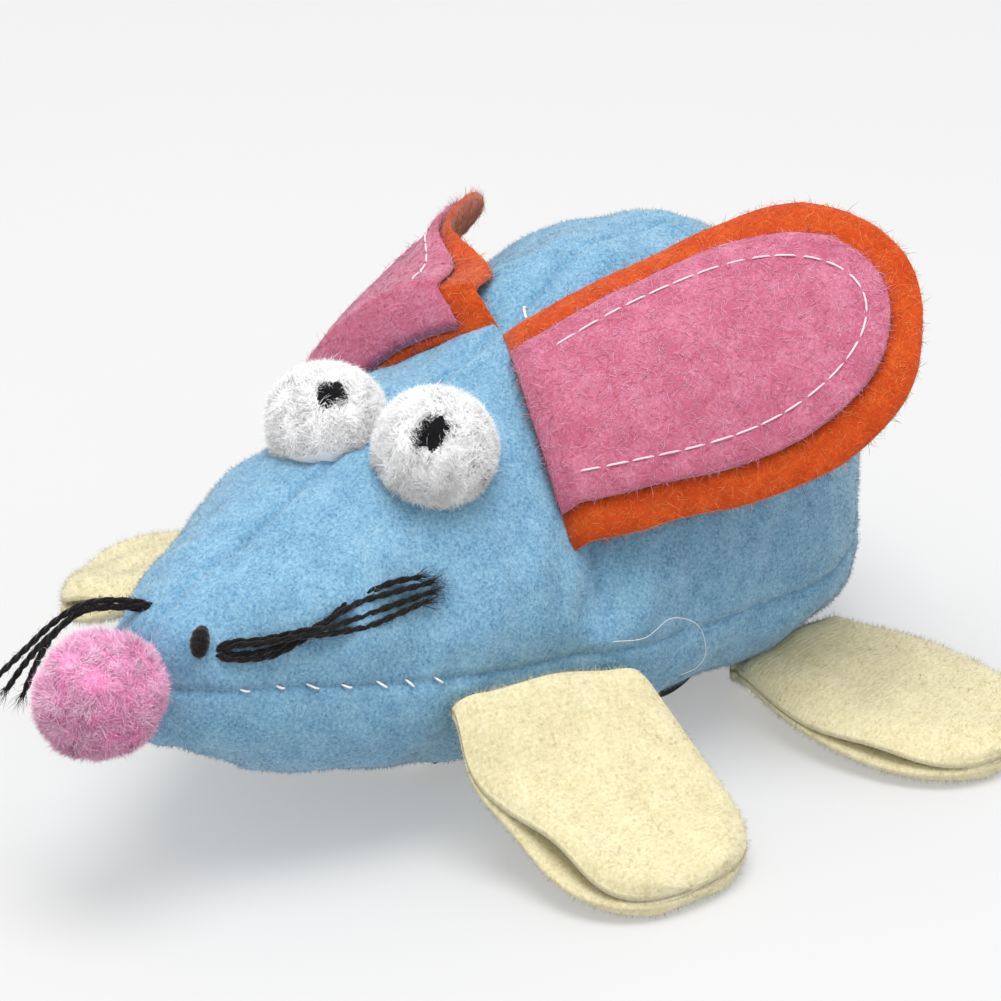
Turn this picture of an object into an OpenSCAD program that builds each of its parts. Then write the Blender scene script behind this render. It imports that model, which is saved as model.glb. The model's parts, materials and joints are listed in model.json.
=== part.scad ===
// Wind-up plush mouse: sewn fleece body, felt ears, velour feet, pompom face,
// and a spring motor that drives two rear wheels under the belly.
// Frame: +X to the nose, +Y to the mouse's left, +Z up, floor at z = 0.

/* [Body] */
// Thickness of the fleece fabric
fleece_t = 1.1; // [0.8:0.1:1.4]
// Gap left between neighbouring fabric panels along a seam
seam_gap = 0.16; // [0.1:0.02:0.3]
// Rows of facets along each body panel
panel_rows = 16; // [10:1:24]
// Facets round a quarter of the body
panel_cols = 8; // [6:1:12]

/* [Face] */
// Radius of the nose pompom
nose_r = 6.3; // [6:0.1:7]
// Radius of each eye pompom
eye_r = 6.2; // [5.5:0.1:6.4]
// Thickness of one whisker yarn
yarn_d = 1.1; // [0.8:0.1:1.4]

/* [Ears] */
// Length of an ear from its seam to its tip
ear_length = 38; // [34:1:40]
// Width of an ear at its seam
ear_base_w = 24; // [22:0.5:25]
// Extra width of an ear at its widest place
ear_flare = 4.4; // [1:0.2:5]
// Thickness of one layer of felt
felt_t = 1.2; // [0.8:0.1:1.4]
// Distance from the ear's edge to the edge of its lining
lining_inset = 3.2; // [2:0.2:4]

/* [Feet] */
// Width of a front foot where it is sewn on
front_base_w = 19.5; // [18:0.5:21]
// Extra width of a front foot at its widest place
front_flare = 2.4; // [1:0.2:4]
// Width of a rear foot where it is gathered and sewn on
rear_base_w = 14.8; // [13:0.2:17]
// Extra width of a rear foot at its widest place
rear_flare = 7.8; // [5:0.2:9]
// Thickness of one layer of a foot
foot_layer_t = 2.0; // [1.5:0.1:2.2]

/* [Wheels] */
// Radius of a driven wheel over its tyre
wheel_r = 8; // [7.8:0.1:8]
// Width of a driven wheel
wheel_w = 3.2; // [2.6:0.1:3.4]
// Radius of the front roller
roller_r = 3.6; // [3.4:0.1:3.6]
// Radius of the drive axle
axle_r = 1.0; // [0.8:0.1:1.1]

/* [Gear train] */
// Gear module
gear_module = 0.5;
// Teeth on the great gear
great_teeth = 40;
// Teeth on the second wheel
second_teeth = 30;
// Teeth on each pinion
pinion_teeth = 10;
// Play between meshing flanks, measured on the pitch circle
backlash = 0.16; // [0.12:0.02:0.2]
// Radial clearance of a shaft in its bearing hole
run_clear = 0.05; // [0.03:0.01:0.08]

/* [Winding key] */
// Reach of each wing of the key from its axis
key_reach = 6; // [5:0.5:6.5]
// Length of the key's wings along its axis
key_wing_l = 6; // [5:0.5:7]
// Turn of the key's wings from level, in degrees
key_turn = 18; // [0:2:90]
// Thickness of the key's wings
key_t = 1.6; // [1.2:0.1:2]

/* [Hidden] */

// ---- Body outline: half width, crown, side seam and belly height along X ----
body_x = [-54.3, -46, -38, -28, -18, -9, 0, 14, 28, 38, 43];
half_w = [  9.0,  17, 22.5, 25.5, 25, 23.5, 22, 18.5, 14, 8.8, 5.5];
crown  = [   28,  38, 43.5, 45.8, 44.8, 42, 39, 36, 32, 28.2, 26.2];
side_z = [ 15.5,  14, 13.5, 13.5, 14, 14.5, 15.5, 17, 18.5, 20, 20.5];
belly  = [ 10.5, 5.5,  3.5,    3,  3,  3, 3.2, 4.5, 8, 13, 15.5];
upper_power = 2 / 1.9;
lower_power = 2 / 2.5;
body_back = body_x[0];
body_front = body_x[len(body_x) - 1];
back_round = 7;
front_round = 3;

// Position of each mechanism axis in the XZ plane
axle_at = [-19.87, wheel_r];
second_at = [-22.46, 17.66];
great_at = [-10, 16.6];
governor_at = [-17.46, 26.32];
roller_at = [6.4, roller_r];

// Extent of the motor case
case_x = [-32.3, 2.3];
case_z = [4.7, 31.4];
case_half_y = 8;
case_wall = 1.0;
plate_x = [-35, -1];
plate_half_y = 15;
plate_corner_r = 4;
plate_nose = [11.4, 8.4];
plate_z = [3, 4.6];
wheel_y = 10;
wheel_slot = [15.2, 4.6];
post_r = 1.8;
screw_r = 0.7;
post_at = [[-27.6, 7.2], [0.2, 6.8], [-30.2, 29.3], [0.2, 29.3]];
boss_at = [[-31.2, 10.4], [-4, 10.4]];

// Faces of the moving parts along Y
great_y = [-1.0, 0.4];
ratchet_y = [0.6, 1.8];
spring_y = [-6.4, -1.5];
second_wheel_y = [3.2, 4.4];
drive_pinion_y = [2.8, 4.8];
second_pinion_y = [-1.5, 1.0];
rotor_y = [5.3, 6.1];
weights_y = [6.1, 6.7];
arbor_r = 1.5;
pivot_r = 0.6;
shaft_r = 0.9;
key_hub_y = [-30, -25.6];

// ---- Smooth interpolation along a list of stations ----
function span(xs, x, i = 0) = (i >= len(xs) - 2 || x < xs[i + 1]) ? i : span(xs, x, i + 1);
function slope(xs, ys, i) =
    let (a = max(i - 1, 0), b = min(i + 1, len(xs) - 1)) (ys[b] - ys[a]) / (xs[b] - xs[a]);
function smooth(xs, ys, x) =
    let (i = span(xs, x), h = xs[i + 1] - xs[i], t = (x - xs[i]) / h)
    (2 * t ^ 3 - 3 * t ^ 2 + 1) * ys[i] + (t ^ 3 - 2 * t ^ 2 + t) * h * slope(xs, ys, i)
    + (3 * t ^ 2 - 2 * t ^ 3) * ys[i + 1] + (t ^ 3 - t ^ 2) * h * slope(xs, ys, i + 1);

// Ellipse factor that closes the body at its two ends
function end_round(x) =
    let (q = max(0, (body_back + back_round - x) / back_round, (x - body_front + front_round) / front_round))
    sqrt(max(0.02, 1 - 0.98 * q ^ 2));
function signed_power(a, p) = sign(a) * pow(abs(a), p);

// Point of the skin at station x and angle a (0 left side seam, 90 crown), inset by d
function skin(x, a, d = 0) =
    let (
        k = end_round(x),
        w = smooth(body_x, half_w, x),
        mid = smooth(body_x, side_z, x),
        rise = sin(a) >= 0 ? smooth(body_x, crown, x) - mid : mid - smooth(body_x, belly, x),
        p = sin(a) >= 0 ? upper_power : lower_power
    )
    [
        x,
        max(w * k - d, 0.1) * signed_power(cos(a), p),
        mid + max(rise * k - d, 0.1) * signed_power(sin(a), p)
    ];

// Cross seam between the head and the back: highest at the crown, further forward at the sides
function cross_seam(a) = -9 + 9.8 * abs(cos(a)) - 1.8 * max(0, -sin(a));

// ---- Solids from grids of points ----
// Closed slab between two grids of the same size
module slab(outer, inner) {
    rows = len(outer);
    cols = len(outer[0]);
    count = rows * cols;
    points = [for (g = [outer, inner]) for (r = g) for (p = r) p];
    skins = [
        for (i = [0:rows - 2]) for (j = [0:cols - 2])
            let (a = i * cols + j, b = a + 1, c = a + cols, d = c + 1)
            each [[a, b, d], [a, d, c], [a + count, d + count, b + count], [a + count, c + count, d + count]]
    ];
    rim = concat(
        [for (j = [0:cols - 1]) j],
        [for (i = [1:rows - 1]) i * cols + cols - 1],
        [for (j = [1:cols - 1]) rows * cols - 1 - j],
        [for (i = [1:rows - 2]) (rows - 1 - i) * cols]
    );
    n = len(rim);
    walls = [
        for (k = [0:n - 1])
            let (a = rim[k], b = rim[(k + 1) % n])
            each [[a, a + count, b + count], [a, b + count, b]]
    ];
    polyhedron(points, concat(skins, walls), convexity = 6);
}

// Closed solid through a list of rings, with flat end caps
module loft(rings) {
    n = len(rings[0]);
    m = len(rings);
    points = [for (r = rings) for (p = r) p];
    walls = [
        for (i = [0:m - 2]) for (j = [0:n - 1])
            let (a = i * n + j, b = i * n + (j + 1) % n)
            each [[a, a + n, b + n], [a, b + n, b]]
    ];
    caps = [[for (j = [0:n - 1]) j], [for (j = [0:n - 1]) m * n - 1 - j]];
    polyhedron(points, concat(walls, caps), convexity = 6);
}

// Round yarn along a path of points
module yarn(path, d, sides = 6) {
    n = len(path);
    rings = [
        for (i = [0:n - 1])
            let (
                a = path[max(i - 1, 0)],
                b = path[min(i + 1, n - 1)],
                t = (b - a) / norm(b - a),
                s = cross(t, [0, 0, 1]) / norm(cross(t, [0, 0, 1])),
                u = cross(s, t)
            )
            [for (j = [0:sides - 1]) path[i] + d / 2 * (cos(360 * j / sides) * s + sin(360 * j / sides) * u)]
    ];
    loft(rings);
}

// Positions spread so that they crowd together at both ends
function eased(k, n) = (1 - cos(180 * k / n)) / 2;

// ---- Fabric body ----
// One quarter of the skin between two angles, from x = start(a) to x = finish(a)
module skin_panel(from_a, to_a, back) {
    grid = function(d) [
        for (i = [0:panel_rows])
            [
                for (j = [0:panel_cols])
                    let (
                        a = from_a + (to_a - from_a) * j / panel_cols,
                        s = cross_seam(a),
                        lo = back ? body_back : s + seam_gap / 2,
                        hi = back ? s - seam_gap / 2 : body_front
                    )
                    skin(lo + (hi - lo) * eased(i, panel_rows), a, d)
            ]
    ];
    slab(grid(0), grid(fleece_t));
}
seam_a = 0.3;
module head_panel_left() color("skyblue") mirror([0, 1, 0]) head_quarter();
module head_quarter() skin_panel(180 + seam_a, 90 + seam_a, false);
module head_panel_right() color("skyblue") head_quarter();
module back_panel_left() color("skyblue") mirror([0, 1, 0]) back_quarter();
module back_quarter() skin_panel(180 - seam_a, 90 + seam_a, true);
module back_panel_right() color("skyblue") difference() {
    back_quarter();
    eyelet_hole();
}
// Hole in the right flank for the eyelet of the winding key
module eyelet_hole() rod(great_at, [-30, -15], eyelet_barrel_r + 0.1);

// Whole body outline as one solid, inset by d
module body_outline(d = 0, rows = 26, sides = 36) {
    loft([
        for (i = [0:rows])
            let (x = body_back + d + (body_front - body_back - 2 * d) * eased(i, rows))
            [for (j = [0:sides - 1]) skin(x, 360 * j / sides, d)]
    ]);
}

// Outline of the base plate: a round-cornered rear part and a narrow front part, grown by g
module plate_outline(g = 0) {
    r = plate_corner_r;
    hull() for (x = [plate_x[0] + r, plate_x[1] - r]) for (s = [-1, 1])
        translate([x, s * (plate_half_y - r)]) circle(r + g, $fn = 32);
    translate([plate_x[0] + 2 * r, -plate_nose[1] - g])
        square([plate_nose[0] - plate_x[0] - 2 * r + g, 2 * (plate_nose[1] + g)]);
}

module belly_panel() color("skyblue") difference() {
    skin_panel_belly();
    translate([0, 0, -1]) linear_extrude(10) plate_outline(0.3);
    eyelet_hole();
}

module skin_panel_belly() {
    cols = 2 * panel_cols;
    grid = function(d) [
        for (i = [0:panel_rows])
            [
                for (j = [0:cols])
                    let (a = -180 + seam_a + (180 - 2 * seam_a) * j / cols)
                    skin(body_back + (body_front - body_back) * eased(i, panel_rows), a, d)
            ]
    ];
    slab(grid(fleece_t), grid(0));
}

module stuffing() color("ivory") difference() {
    body_outline(fleece_t + 0.6, 24, 36);
    translate([case_x[0] - 1, -13.4, -1]) cube([case_x[1] - case_x[0] + 2, 26.8, 33.4]);
    translate([axle_at[0] - 9, -15.5, -1]) cube([18, 31, 18.4]);
    translate([0, 0, -1]) linear_extrude(9) plate_outline(0.8);
    translate([great_at[0], 0, great_at[1]]) rotate([90, 0, 0]) cylinder(h = 40, r = 4, $fn = 32);
}

// ---- Face ----
nose_at = [body_front + 4.7, 0, 22];
eye_at = [[11.1, 8.4, 36.7], [12.6, -4.2, 36.2]];

module pompom(at, r) difference() {
    translate(at) sphere(r, $fn = 36);
    body_outline(-0.25);
}
module nose_pompom() color("hotpink") difference() {
    translate(nose_at) sphere(nose_r, $fn = 48);
    translate([body_front + 0.15 - 4 * nose_r, -2 * nose_r, nose_at[2] - 2 * nose_r]) cube(4 * nose_r);
}
module eye_pompom_left() color("white") pompom(eye_at[0], eye_r);
module eye_pompom_right() color("white") pompom(eye_at[1], eye_r);

// Left whiskers lie on the cheek; each point is a station, an angle and a height above the skin
cheek_route = [[37.6, 38, 0.85], [34.5, 33, 0.85], [31, 30, 0.85], [27, 31, 0.85], [23, 33, 0.85], [18.5, 36, 0.85]];
module whiskers_left() color("black") {
    for (k = [-1:1])
        yarn([for (q = cheek_route) skin(q[0], q[1] + k * (8.5 - 0.2 * (38 - q[0])), -q[2])], yarn_d);
    yarn([skin(39.8, 58, -1), skin(40, 44, -1), skin(39.9, 30, -1)], 1.5 * yarn_d);
}
snout_route = [[38, -3.6, 28.9], [42.4, -7, 28.8], [45.6, -11.5, 26.4], [47.4, -15, 22.6], [48.4, -18.5, 18]];
module whiskers_right() color("black")
    for (k = [-1:1])
        yarn([for (q = snout_route) q + k * yarn_d * [0.9, 0.6, 0.9]], yarn_d);

// ---- Ears ----
// Seam of each ear on the skin, upper and lower end
ear_top = [-8.9, 3, 42];
ear_bottom = [-0.5, 19, 26.9];
ear_lift = 0.6;
// The way an ear points, its sag, forward curl and gather of its upper edge, shift of its
// seam, bend of its tip, and width added to its flare
left_ear = [[-29.5, 20.68, 12.1], 2.93, 0, 0, [0.78, 0, -0.68], -1.69, 0];
right_ear = [[-34, 20.63, -3.5], 3.45, 4.25, 3.68, [0.05, 0, 0.75], 0, -1];
ear_curl_length = 14;

function unit(v) = v / norm(v);
// Point of an ear: u along it, v across it, w above its rear face
function ear_point(ear, u, v, w) =
    let (
        b = unit(ear_bottom - ear_top),
        d = unit(ear[0]),
        n = unit(cross(b, d)),
        t = min(1, max(0, u / ear_curl_length)),
        edge = (max(0, -2 * v / ear_base_w)) ^ 2 * t * t * (3 - 2 * t),
        bow = ear[1] * (1 - (2 * v / ear_base_w) ^ 2) * (1 - 0.6 * u / ear_length) + ear[2] * edge,
        bend = ear[5] * (u / ear_length) ^ 2
    )
    (ear_top + ear_bottom) / 2 + ear[4] + d * u + b * (v + ear[3] * edge)
        + n * (bow + bend + ear_lift + w);
// Half width of an ear of the given length and base width at distance u
function ear_half(u, length, base, flare) =
    let (r = 15, flat = length - r, q = max(0, u - flat) / r)
    (base / 2 + flare / 2 * sin(min(90, 90 * u / flat))) * sqrt(max(0.0004, 1 - q ^ 2));

module ear_sheet(ear, inset, w0) {
    rows = 14;
    cols = 8;
    length = ear_length - inset;
    grid = function(w) [
        for (i = [0:rows])
            let (u = 0.6 + (length - 0.6) * sin(90 * i / rows))
            [
                for (j = [0:cols])
                    let (half = ear_half(u, length, ear_base_w - 2 * inset, ear_flare + ear[6]))
                    ear_point(ear, u, (2 * j / cols - 1) * half, w)
            ]
    ];
    slab(grid(w0 + felt_t), grid(w0));
}
module ear_back_left() color("orangered") ear_sheet(left_ear, 0, 0);
module ear_lining_left() color("palevioletred") ear_sheet(left_ear, lining_inset, felt_t + 0.05);
module ear_back_right() color("orangered") mirror([0, 1, 0]) ear_sheet(right_ear, 0, 0);
module ear_lining_right() color("palevioletred")
    mirror([0, 1, 0]) ear_sheet(right_ear, lining_inset, felt_t + 0.05);

// ---- Feet ----
// Middle of the sewn edge, heading in degrees, length in plan, drop to the toe, width at the
// sewn edge, extra width, turn of the sewn edge in degrees, rise of that edge's front end
front_left_foot = [[8.2, 19.8, 12.4], 78.9, 22.5, 12.3, front_base_w, front_flare, 14.9, 0.5];
front_right_foot = [[8.8, 20.8, 13.4], 80.5, 18.2, 6.4, front_base_w, front_flare, 2, 1.2];
rear_foot = [[-27.5, 21.4, 3.4], 95.6, 27.2, 3.3, rear_base_w, rear_flare, 8.2, 0];
foot_start = 0.03;

// Point of a foot: s from 0 at the body to 1 at the toe, v across it, w above its underside
function foot_point(foot, s, v, w) =
    let (
        a = foot[1],
        b = a - foot[6] * (1 - s),
        run = foot[2] * s,
        fall = foot[3] * (1 - (1 - s) ^ 1.7),
        rise = foot[7] * v / foot[4] * 2 * (1 - s)
    )
    foot[0] + [cos(a) * run + sin(b) * v, sin(a) * run - cos(b) * v, w - fall + rise];
function foot_half(foot, s) =
    let (q = max(0, s - 0.5) / 0.5)
    (foot[4] / 2 + foot[5] / 2 * sin(min(90, 180 * s))) * pow(max(0.0004, 1 - q ^ 2.6), 0.42);

module foot_layer(foot, w0, puff) {
    rows = 12;
    cols = 6;
    grid = function(top) [
        for (i = [0:rows])
            let (s = foot_start + (1 - foot_start) * sin(90 * i / rows))
            [
                for (j = [0:cols])
                    let (c = 2 * j / cols - 1, edge = (1 - c ^ 4) * (1 - s ^ 6))
                    foot_point(foot, s, c * foot_half(foot, s), w0 + (top ? foot_layer_t - puff * (1 - edge) : 0))
            ]
    ];
    difference() {
        slab(grid(true), grid(false));
        body_outline(-foot_clear);
    }
}
// Gap between a foot and the body under it
foot_clear = 0.5;
module foot_top(foot) color("cornsilk") foot_layer(foot, foot_layer_t + 0.1, 0.8);
module foot_sole(foot) color("beige") foot_layer(foot, 0, 0);
module foot_top_front_left() foot_top(front_left_foot);
module foot_top_front_right() mirror([0, 1, 0]) foot_top(front_right_foot);
module foot_top_rear_left() foot_top(rear_foot);
module foot_top_rear_right() mirror([0, 1, 0]) foot_top(rear_foot);
module foot_sole_front_left() foot_sole(front_left_foot);
module foot_sole_front_right() mirror([0, 1, 0]) foot_sole(front_right_foot);
module foot_sole_rear_left() foot_sole(rear_foot);
module foot_sole_rear_right() mirror([0, 1, 0]) foot_sole(rear_foot);

// ---- Motor: shared shapes ----
// Disc or rod along Y at a place in the XZ plane, from y[0] to y[1]
module along_y(at, y) translate([at[0], y[1], at[1]]) rotate([90, 0, 0]) linear_extrude(y[1] - y[0]) children();
module rod(at, y, r, sides = 32) along_y(at, y) circle(r, $fn = sides);

// Involute angle at pressure angle a, in degrees
function involute(a) = tan(a) * 180 / PI - a;
function tooth_half_angle(teeth, r) =
    let (rp = gear_module * teeth / 2, rb = rp * cos(20))
    90 / teeth - (backlash / 4 / rp) * 180 / PI + involute(20) - (r > rb ? involute(acos(rb / r)) : 0);

// Gear outline with a tooth centred on angle phase
module gear_outline(teeth, tip, root, phase) {
    rp = gear_module * teeth / 2;
    radii = [for (k = [0:4]) rp - root + (tip + root) * k / 4];
    polygon([
        for (t = [0:teeth - 1])
            let (c = phase + 360 * t / teeth)
            each concat(
                [for (r = radii) let (a = c - tooth_half_angle(teeth, r)) r * [cos(a), sin(a)]],
                [
                    for (k = [4:-1:0])
                        let (a = c + tooth_half_angle(teeth, radii[k])) radii[k] * [cos(a), sin(a)]
                ]
            )
    ]);
}
wheel_tip = 0.36;
wheel_root = 0.56;
pinion_tip = 0.4;
pinion_root = 0.5;

// Direction from a to b, and the phase that puts gear b in mesh with gear a
function heading(a, b) = atan2(b[1] - a[1], b[0] - a[0]);
function meshed_phase(a, b, phase_a, teeth_a, teeth_b) =
    let (h = heading(a, b)) h + 180 + (h - phase_a) * teeth_a / teeth_b + 180 / teeth_b;
great_phase = heading(great_at, second_at);

module spoked_wheel(at, y, teeth, bore_r, phase) along_y(at, y) difference() {
    gear_outline(teeth, wheel_tip, wheel_root, phase);
    circle(bore_r, $fn = 32);
    for (a = [0:72:288])
        rotate(a) translate([gear_module * teeth * 0.29, 0]) circle(gear_module * teeth * 0.11, $fn = 24);
}
module pinion(at, y, bore_r, phase) along_y(at, y) difference() {
    gear_outline(pinion_teeth, pinion_tip, pinion_root, phase);
    circle(bore_r, $fn = 32);
}

// Shaft with thin pivots that reach into both case walls
module pivoted_shaft(at, r) {
    rod(at, [-case_half_y + case_wall + 0.1, case_half_y - case_wall - 0.1], r);
    rod(at, [-case_half_y, case_half_y], pivot_r);
}

// ---- Base plate and case ----
module base_plate() color("dimgray") difference() {
    union() {
        translate([0, 0, plate_z[0]]) linear_extrude(plate_z[1] - plate_z[0]) plate_outline();
        for (s = [-1, 1])
            translate([roller_at[0] - 2, s * 6 - 1, plate_z[0] - 0.8]) cube([4, 2, 3.2]);
    }
    for (s = [-1, 1])
        translate([axle_at[0] - wheel_slot[0] / 2, s * (wheel_y + wheel_w / 2) - wheel_slot[1] / 2, 0])
            cube([wheel_slot[0], wheel_slot[1], 6]);
    translate([roller_at[0] - 4.4, -5, 0]) cube([8.8, 10, 6]);
    rod(roller_at, [-8, 8], axle_r - 0.2 + run_clear);
    for (b = boss_at) for (s = [-1, 1]) {
        translate([b[0], s * b[1], 0]) cylinder(h = 6, r = screw_r + 0.15, $fn = 24);
        translate([b[0], s * b[1], plate_z[0] - 0.1]) cylinder(h = 0.8, r = 1.5, $fn = 24);
    }
}

// One half of the motor case: a side wall with a rim that meets the other half at y = 0
module case_half(posts_open) {
    w = case_x[1] - case_x[0];
    h = case_z[1] - case_z[0];
    difference() {
        union() {
            difference() {
                translate([case_x[0], 0.02, case_z[0]]) cube([w, case_half_y - 0.02, h]);
                translate([case_x[0] + case_wall, -1, case_z[0] + case_wall])
                    cube([w - 2 * case_wall, case_half_y - case_wall + 1, h - 2 * case_wall]);
            }
            for (p = post_at) rod(p, [0.02, case_half_y - 0.5], post_r);
            for (b = boss_at)
                translate([b[0], b[1], case_z[0]]) cylinder(h = 4.5, r = 1.9, $fn = 24);
            for (b = boss_at)
                translate([b[0] - 1, case_half_y - 0.2, case_z[0]]) cube([2, b[1] - case_half_y, 4.5]);
        }
        for (p = post_at) rod(p, [-1, posts_open ? 9 : case_half_y - 2], screw_r + (posts_open ? 0.15 : 0));
        for (b = boss_at)
            translate([b[0], b[1], case_z[0] - 1]) cylinder(h = 4.6, r = screw_r, $fn = 24);
        rod(axle_at, [-1, 9], axle_r + run_clear);
        for (p = [second_at, governor_at]) rod(p, [-1, 9], pivot_r + run_clear);
    }
}
module motor_case_left() color("gainsboro") difference() {
    case_half(true);
    rod(great_at, [-1, 9], pivot_r + run_clear);
    rod(axle_at, drive_pinion_y + [-0.4, 0.4], gear_module * pinion_teeth / 2 + 0.8);
}
module motor_case_right() color("gainsboro") difference() {
    mirror([0, 1, 0]) case_half(false);
    rod(great_at, [-9, 1], arbor_r + run_clear);
}
module case_screws() color("silver") for (p = post_at) {
    rod(p, [-5, 8.05], screw_r);
    rod(p, [8.05, 8.75], 1.4);
}
module base_screws() color("silver") for (b = boss_at) for (s = [-1, 1]) translate([b[0], s * b[1], 0]) {
    translate([0, 0, plate_z[0] + 0.05]) cylinder(h = 0.6, r = 1.4, $fn = 24);
    translate([0, 0, plate_z[0] + 0.6]) cylinder(h = 4, r = screw_r, $fn = 24);
}

// ---- Spring drive ----
// Flat spiral spring: turns of a steel strip between the arbor and the pillar
pillar_at = [great_at[0] - 8.3, great_at[1] - 5.3];
pillar_r = 0.8;
module mainspring() color("lightsteelblue") {
    turns = 6;
    strip = 0.35;
    r0 = arbor_r + 0.2;
    r1 = norm(pillar_at - great_at) - pillar_r - strip - 0.06;
    steps = turns * 20;
    end_a = heading(great_at, pillar_at);
    side = function(d) [
        for (k = [0:steps])
            let (t = k / steps, r = r0 + (r1 - r0) * t ^ 0.8, a = end_a - 360 * turns * (1 - t))
            (r + d) * [cos(a), sin(a)]
    ];
    inner = side(0);
    outer = side(strip);
    along_y(great_at, spring_y) polygon(concat(inner, [for (k = [steps:-1:0]) outer[k]]));
}
module spring_pillar() color("silver") {
    rod(pillar_at, [-6.95, -1.4], pillar_r);
}
module winding_arbor() color("silver") {
    rod(great_at, [key_hub_y[0] + 1, case_half_y - case_wall - 0.3], arbor_r);
    rod(great_at, [case_half_y - case_wall - 0.3, case_half_y], pivot_r);
}
module ratchet_wheel() color("goldenrod") along_y(great_at, ratchet_y) difference() {
    polygon([for (k = [0:11]) each [4 * [cos(30 * k), sin(30 * k)], 3.1 * [cos(30 * k + 4), sin(30 * k + 4)]]]);
    circle(arbor_r, $fn = 32);
}
module great_gear() color("goldenrod") {
    spoked_wheel(great_at, great_y, great_teeth, arbor_r + run_clear, great_phase);
    rod(great_at + click_pin, [great_y[1], ratchet_y[1]], 0.6);
}
click_pin = [6.6, -3];
// Leaf that rides on the ratchet wheel, held by a pin on the great gear
module click_spring() color("lightsteelblue") along_y(great_at, ratchet_y - [-0.1, 0.1]) {
    polygon([[4.25, 1.4], [4.6, 1.5], [6.1, -1.9], [7.1, -2.2], [7.0, -2.35], [5.75, -2.3]]);
}
module second_arbor() color("silver") pivoted_shaft(second_at, shaft_r);
module second_wheel() color("goldenrod") spoked_wheel(second_at, second_wheel_y, second_teeth, shaft_r, 0);
module second_pinion() color("goldenrod")
    pinion(second_at, second_pinion_y, shaft_r,
        meshed_phase(great_at, second_at, great_phase, great_teeth, pinion_teeth));
module governor_arbor() color("silver") pivoted_shaft(governor_at, shaft_r);
module governor_pinion() color("goldenrod")
    pinion(governor_at, drive_pinion_y, shaft_r,
        meshed_phase(second_at, governor_at, 0, second_teeth, pinion_teeth));
module governor_rotor() color("ivory") along_y(governor_at, rotor_y) difference() {
    union() {
        circle(1.8, $fn = 24);
        square([6.2, 1.6], center = true);
    }
    circle(shaft_r, $fn = 24);
}
module governor_weights() color("silver")
    for (s = [-1, 1]) rod(governor_at + [s * 2.3, 0], weights_y, 0.9, 24);

// ---- Running gear ----
module axle_pinion() color("goldenrod")
    pinion(axle_at, drive_pinion_y, axle_r, meshed_phase(second_at, axle_at, 0, second_teeth, pinion_teeth));
module drive_axle() color("silver") rod(axle_at, [-wheel_y - wheel_w, wheel_y + wheel_w], axle_r);
module wheel_hub() rotate_about_axle() difference() {
    union() {
        translate([0, 0, 0.5]) cylinder(h = wheel_w - 1, r = wheel_r - 1.4, $fn = 64);
        cylinder(h = wheel_w, r = 2.4, $fn = 32);
    }
    translate([0, 0, -1]) cylinder(h = wheel_w + 2, r = axle_r, $fn = 32);
    for (a = [0:60:300]) rotate(a) translate([4.3, 0, -1]) cylinder(h = wheel_w + 2, r = 1.3, $fn = 24);
}
module wheel_tyre() rotate_about_axle() rotate_extrude($fn = 96) polygon([
    [wheel_r - 1.4, 0], [wheel_r - 0.4, 0], [wheel_r, 0.4], [wheel_r, wheel_w - 0.4],
    [wheel_r - 0.4, wheel_w], [wheel_r - 1.4, wheel_w]
]);
module rotate_about_axle() translate([axle_at[0], wheel_y + wheel_w, axle_at[1]]) rotate([90, 0, 0]) children();
module wheel_hub_left() color("whitesmoke") wheel_hub();
module wheel_hub_right() color("whitesmoke") mirror([0, 1, 0]) wheel_hub();
module wheel_tyre_left() color("black") wheel_tyre();
module wheel_tyre_right() color("black") mirror([0, 1, 0]) wheel_tyre();
module front_roller() color("whitesmoke") along_y(roller_at, [-4.2, 4.2]) difference() {
    circle(roller_r, $fn = 64);
    circle(axle_r - 0.2, $fn = 32);
}
module roller_axle() color("silver") rod(roller_at, [-7, 7], axle_r - 0.2);

// ---- Winding key ----
eyelet_y = [-25, -24.4];
eyelet_barrel_r = 2.3;
module key_eyelet() color("silver") difference() {
    union() {
        rod(great_at, eyelet_y, 3.3);
        rod(great_at, [eyelet_y[0], -21.4], eyelet_barrel_r);
    }
    rod(great_at, [-26, -21], arbor_r + 0.3);
}
key_hub_r = 2.5;
key_overlap = 3.4;
// Both wings of the key, with a round hole in each
module key_wings() difference() {
    hull() for (s = [-1, 1]) for (y = [2, key_wing_l - 2]) translate([s * (key_reach - 2), y]) circle(2, $fn = 32);
    for (s = [-1, 1]) translate([s * (key_reach - 2.1), key_wing_l / 2]) circle(1.1, $fn = 24);
}
module winding_key() color("silver") {
    difference() {
        rod(great_at, key_hub_y, key_hub_r);
        rod(great_at, [key_hub_y[0] + 1, key_hub_y[1] + 1], arbor_r);
    }
    difference() {
        translate([great_at[0], key_hub_y[0] - key_wing_l + key_overlap, great_at[1]])
            rotate([0, key_turn, 0]) translate([0, 0, -key_t / 2]) linear_extrude(key_t) key_wings();
        rod(great_at, key_hub_y, key_hub_r - 0.05);
    }
}

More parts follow.
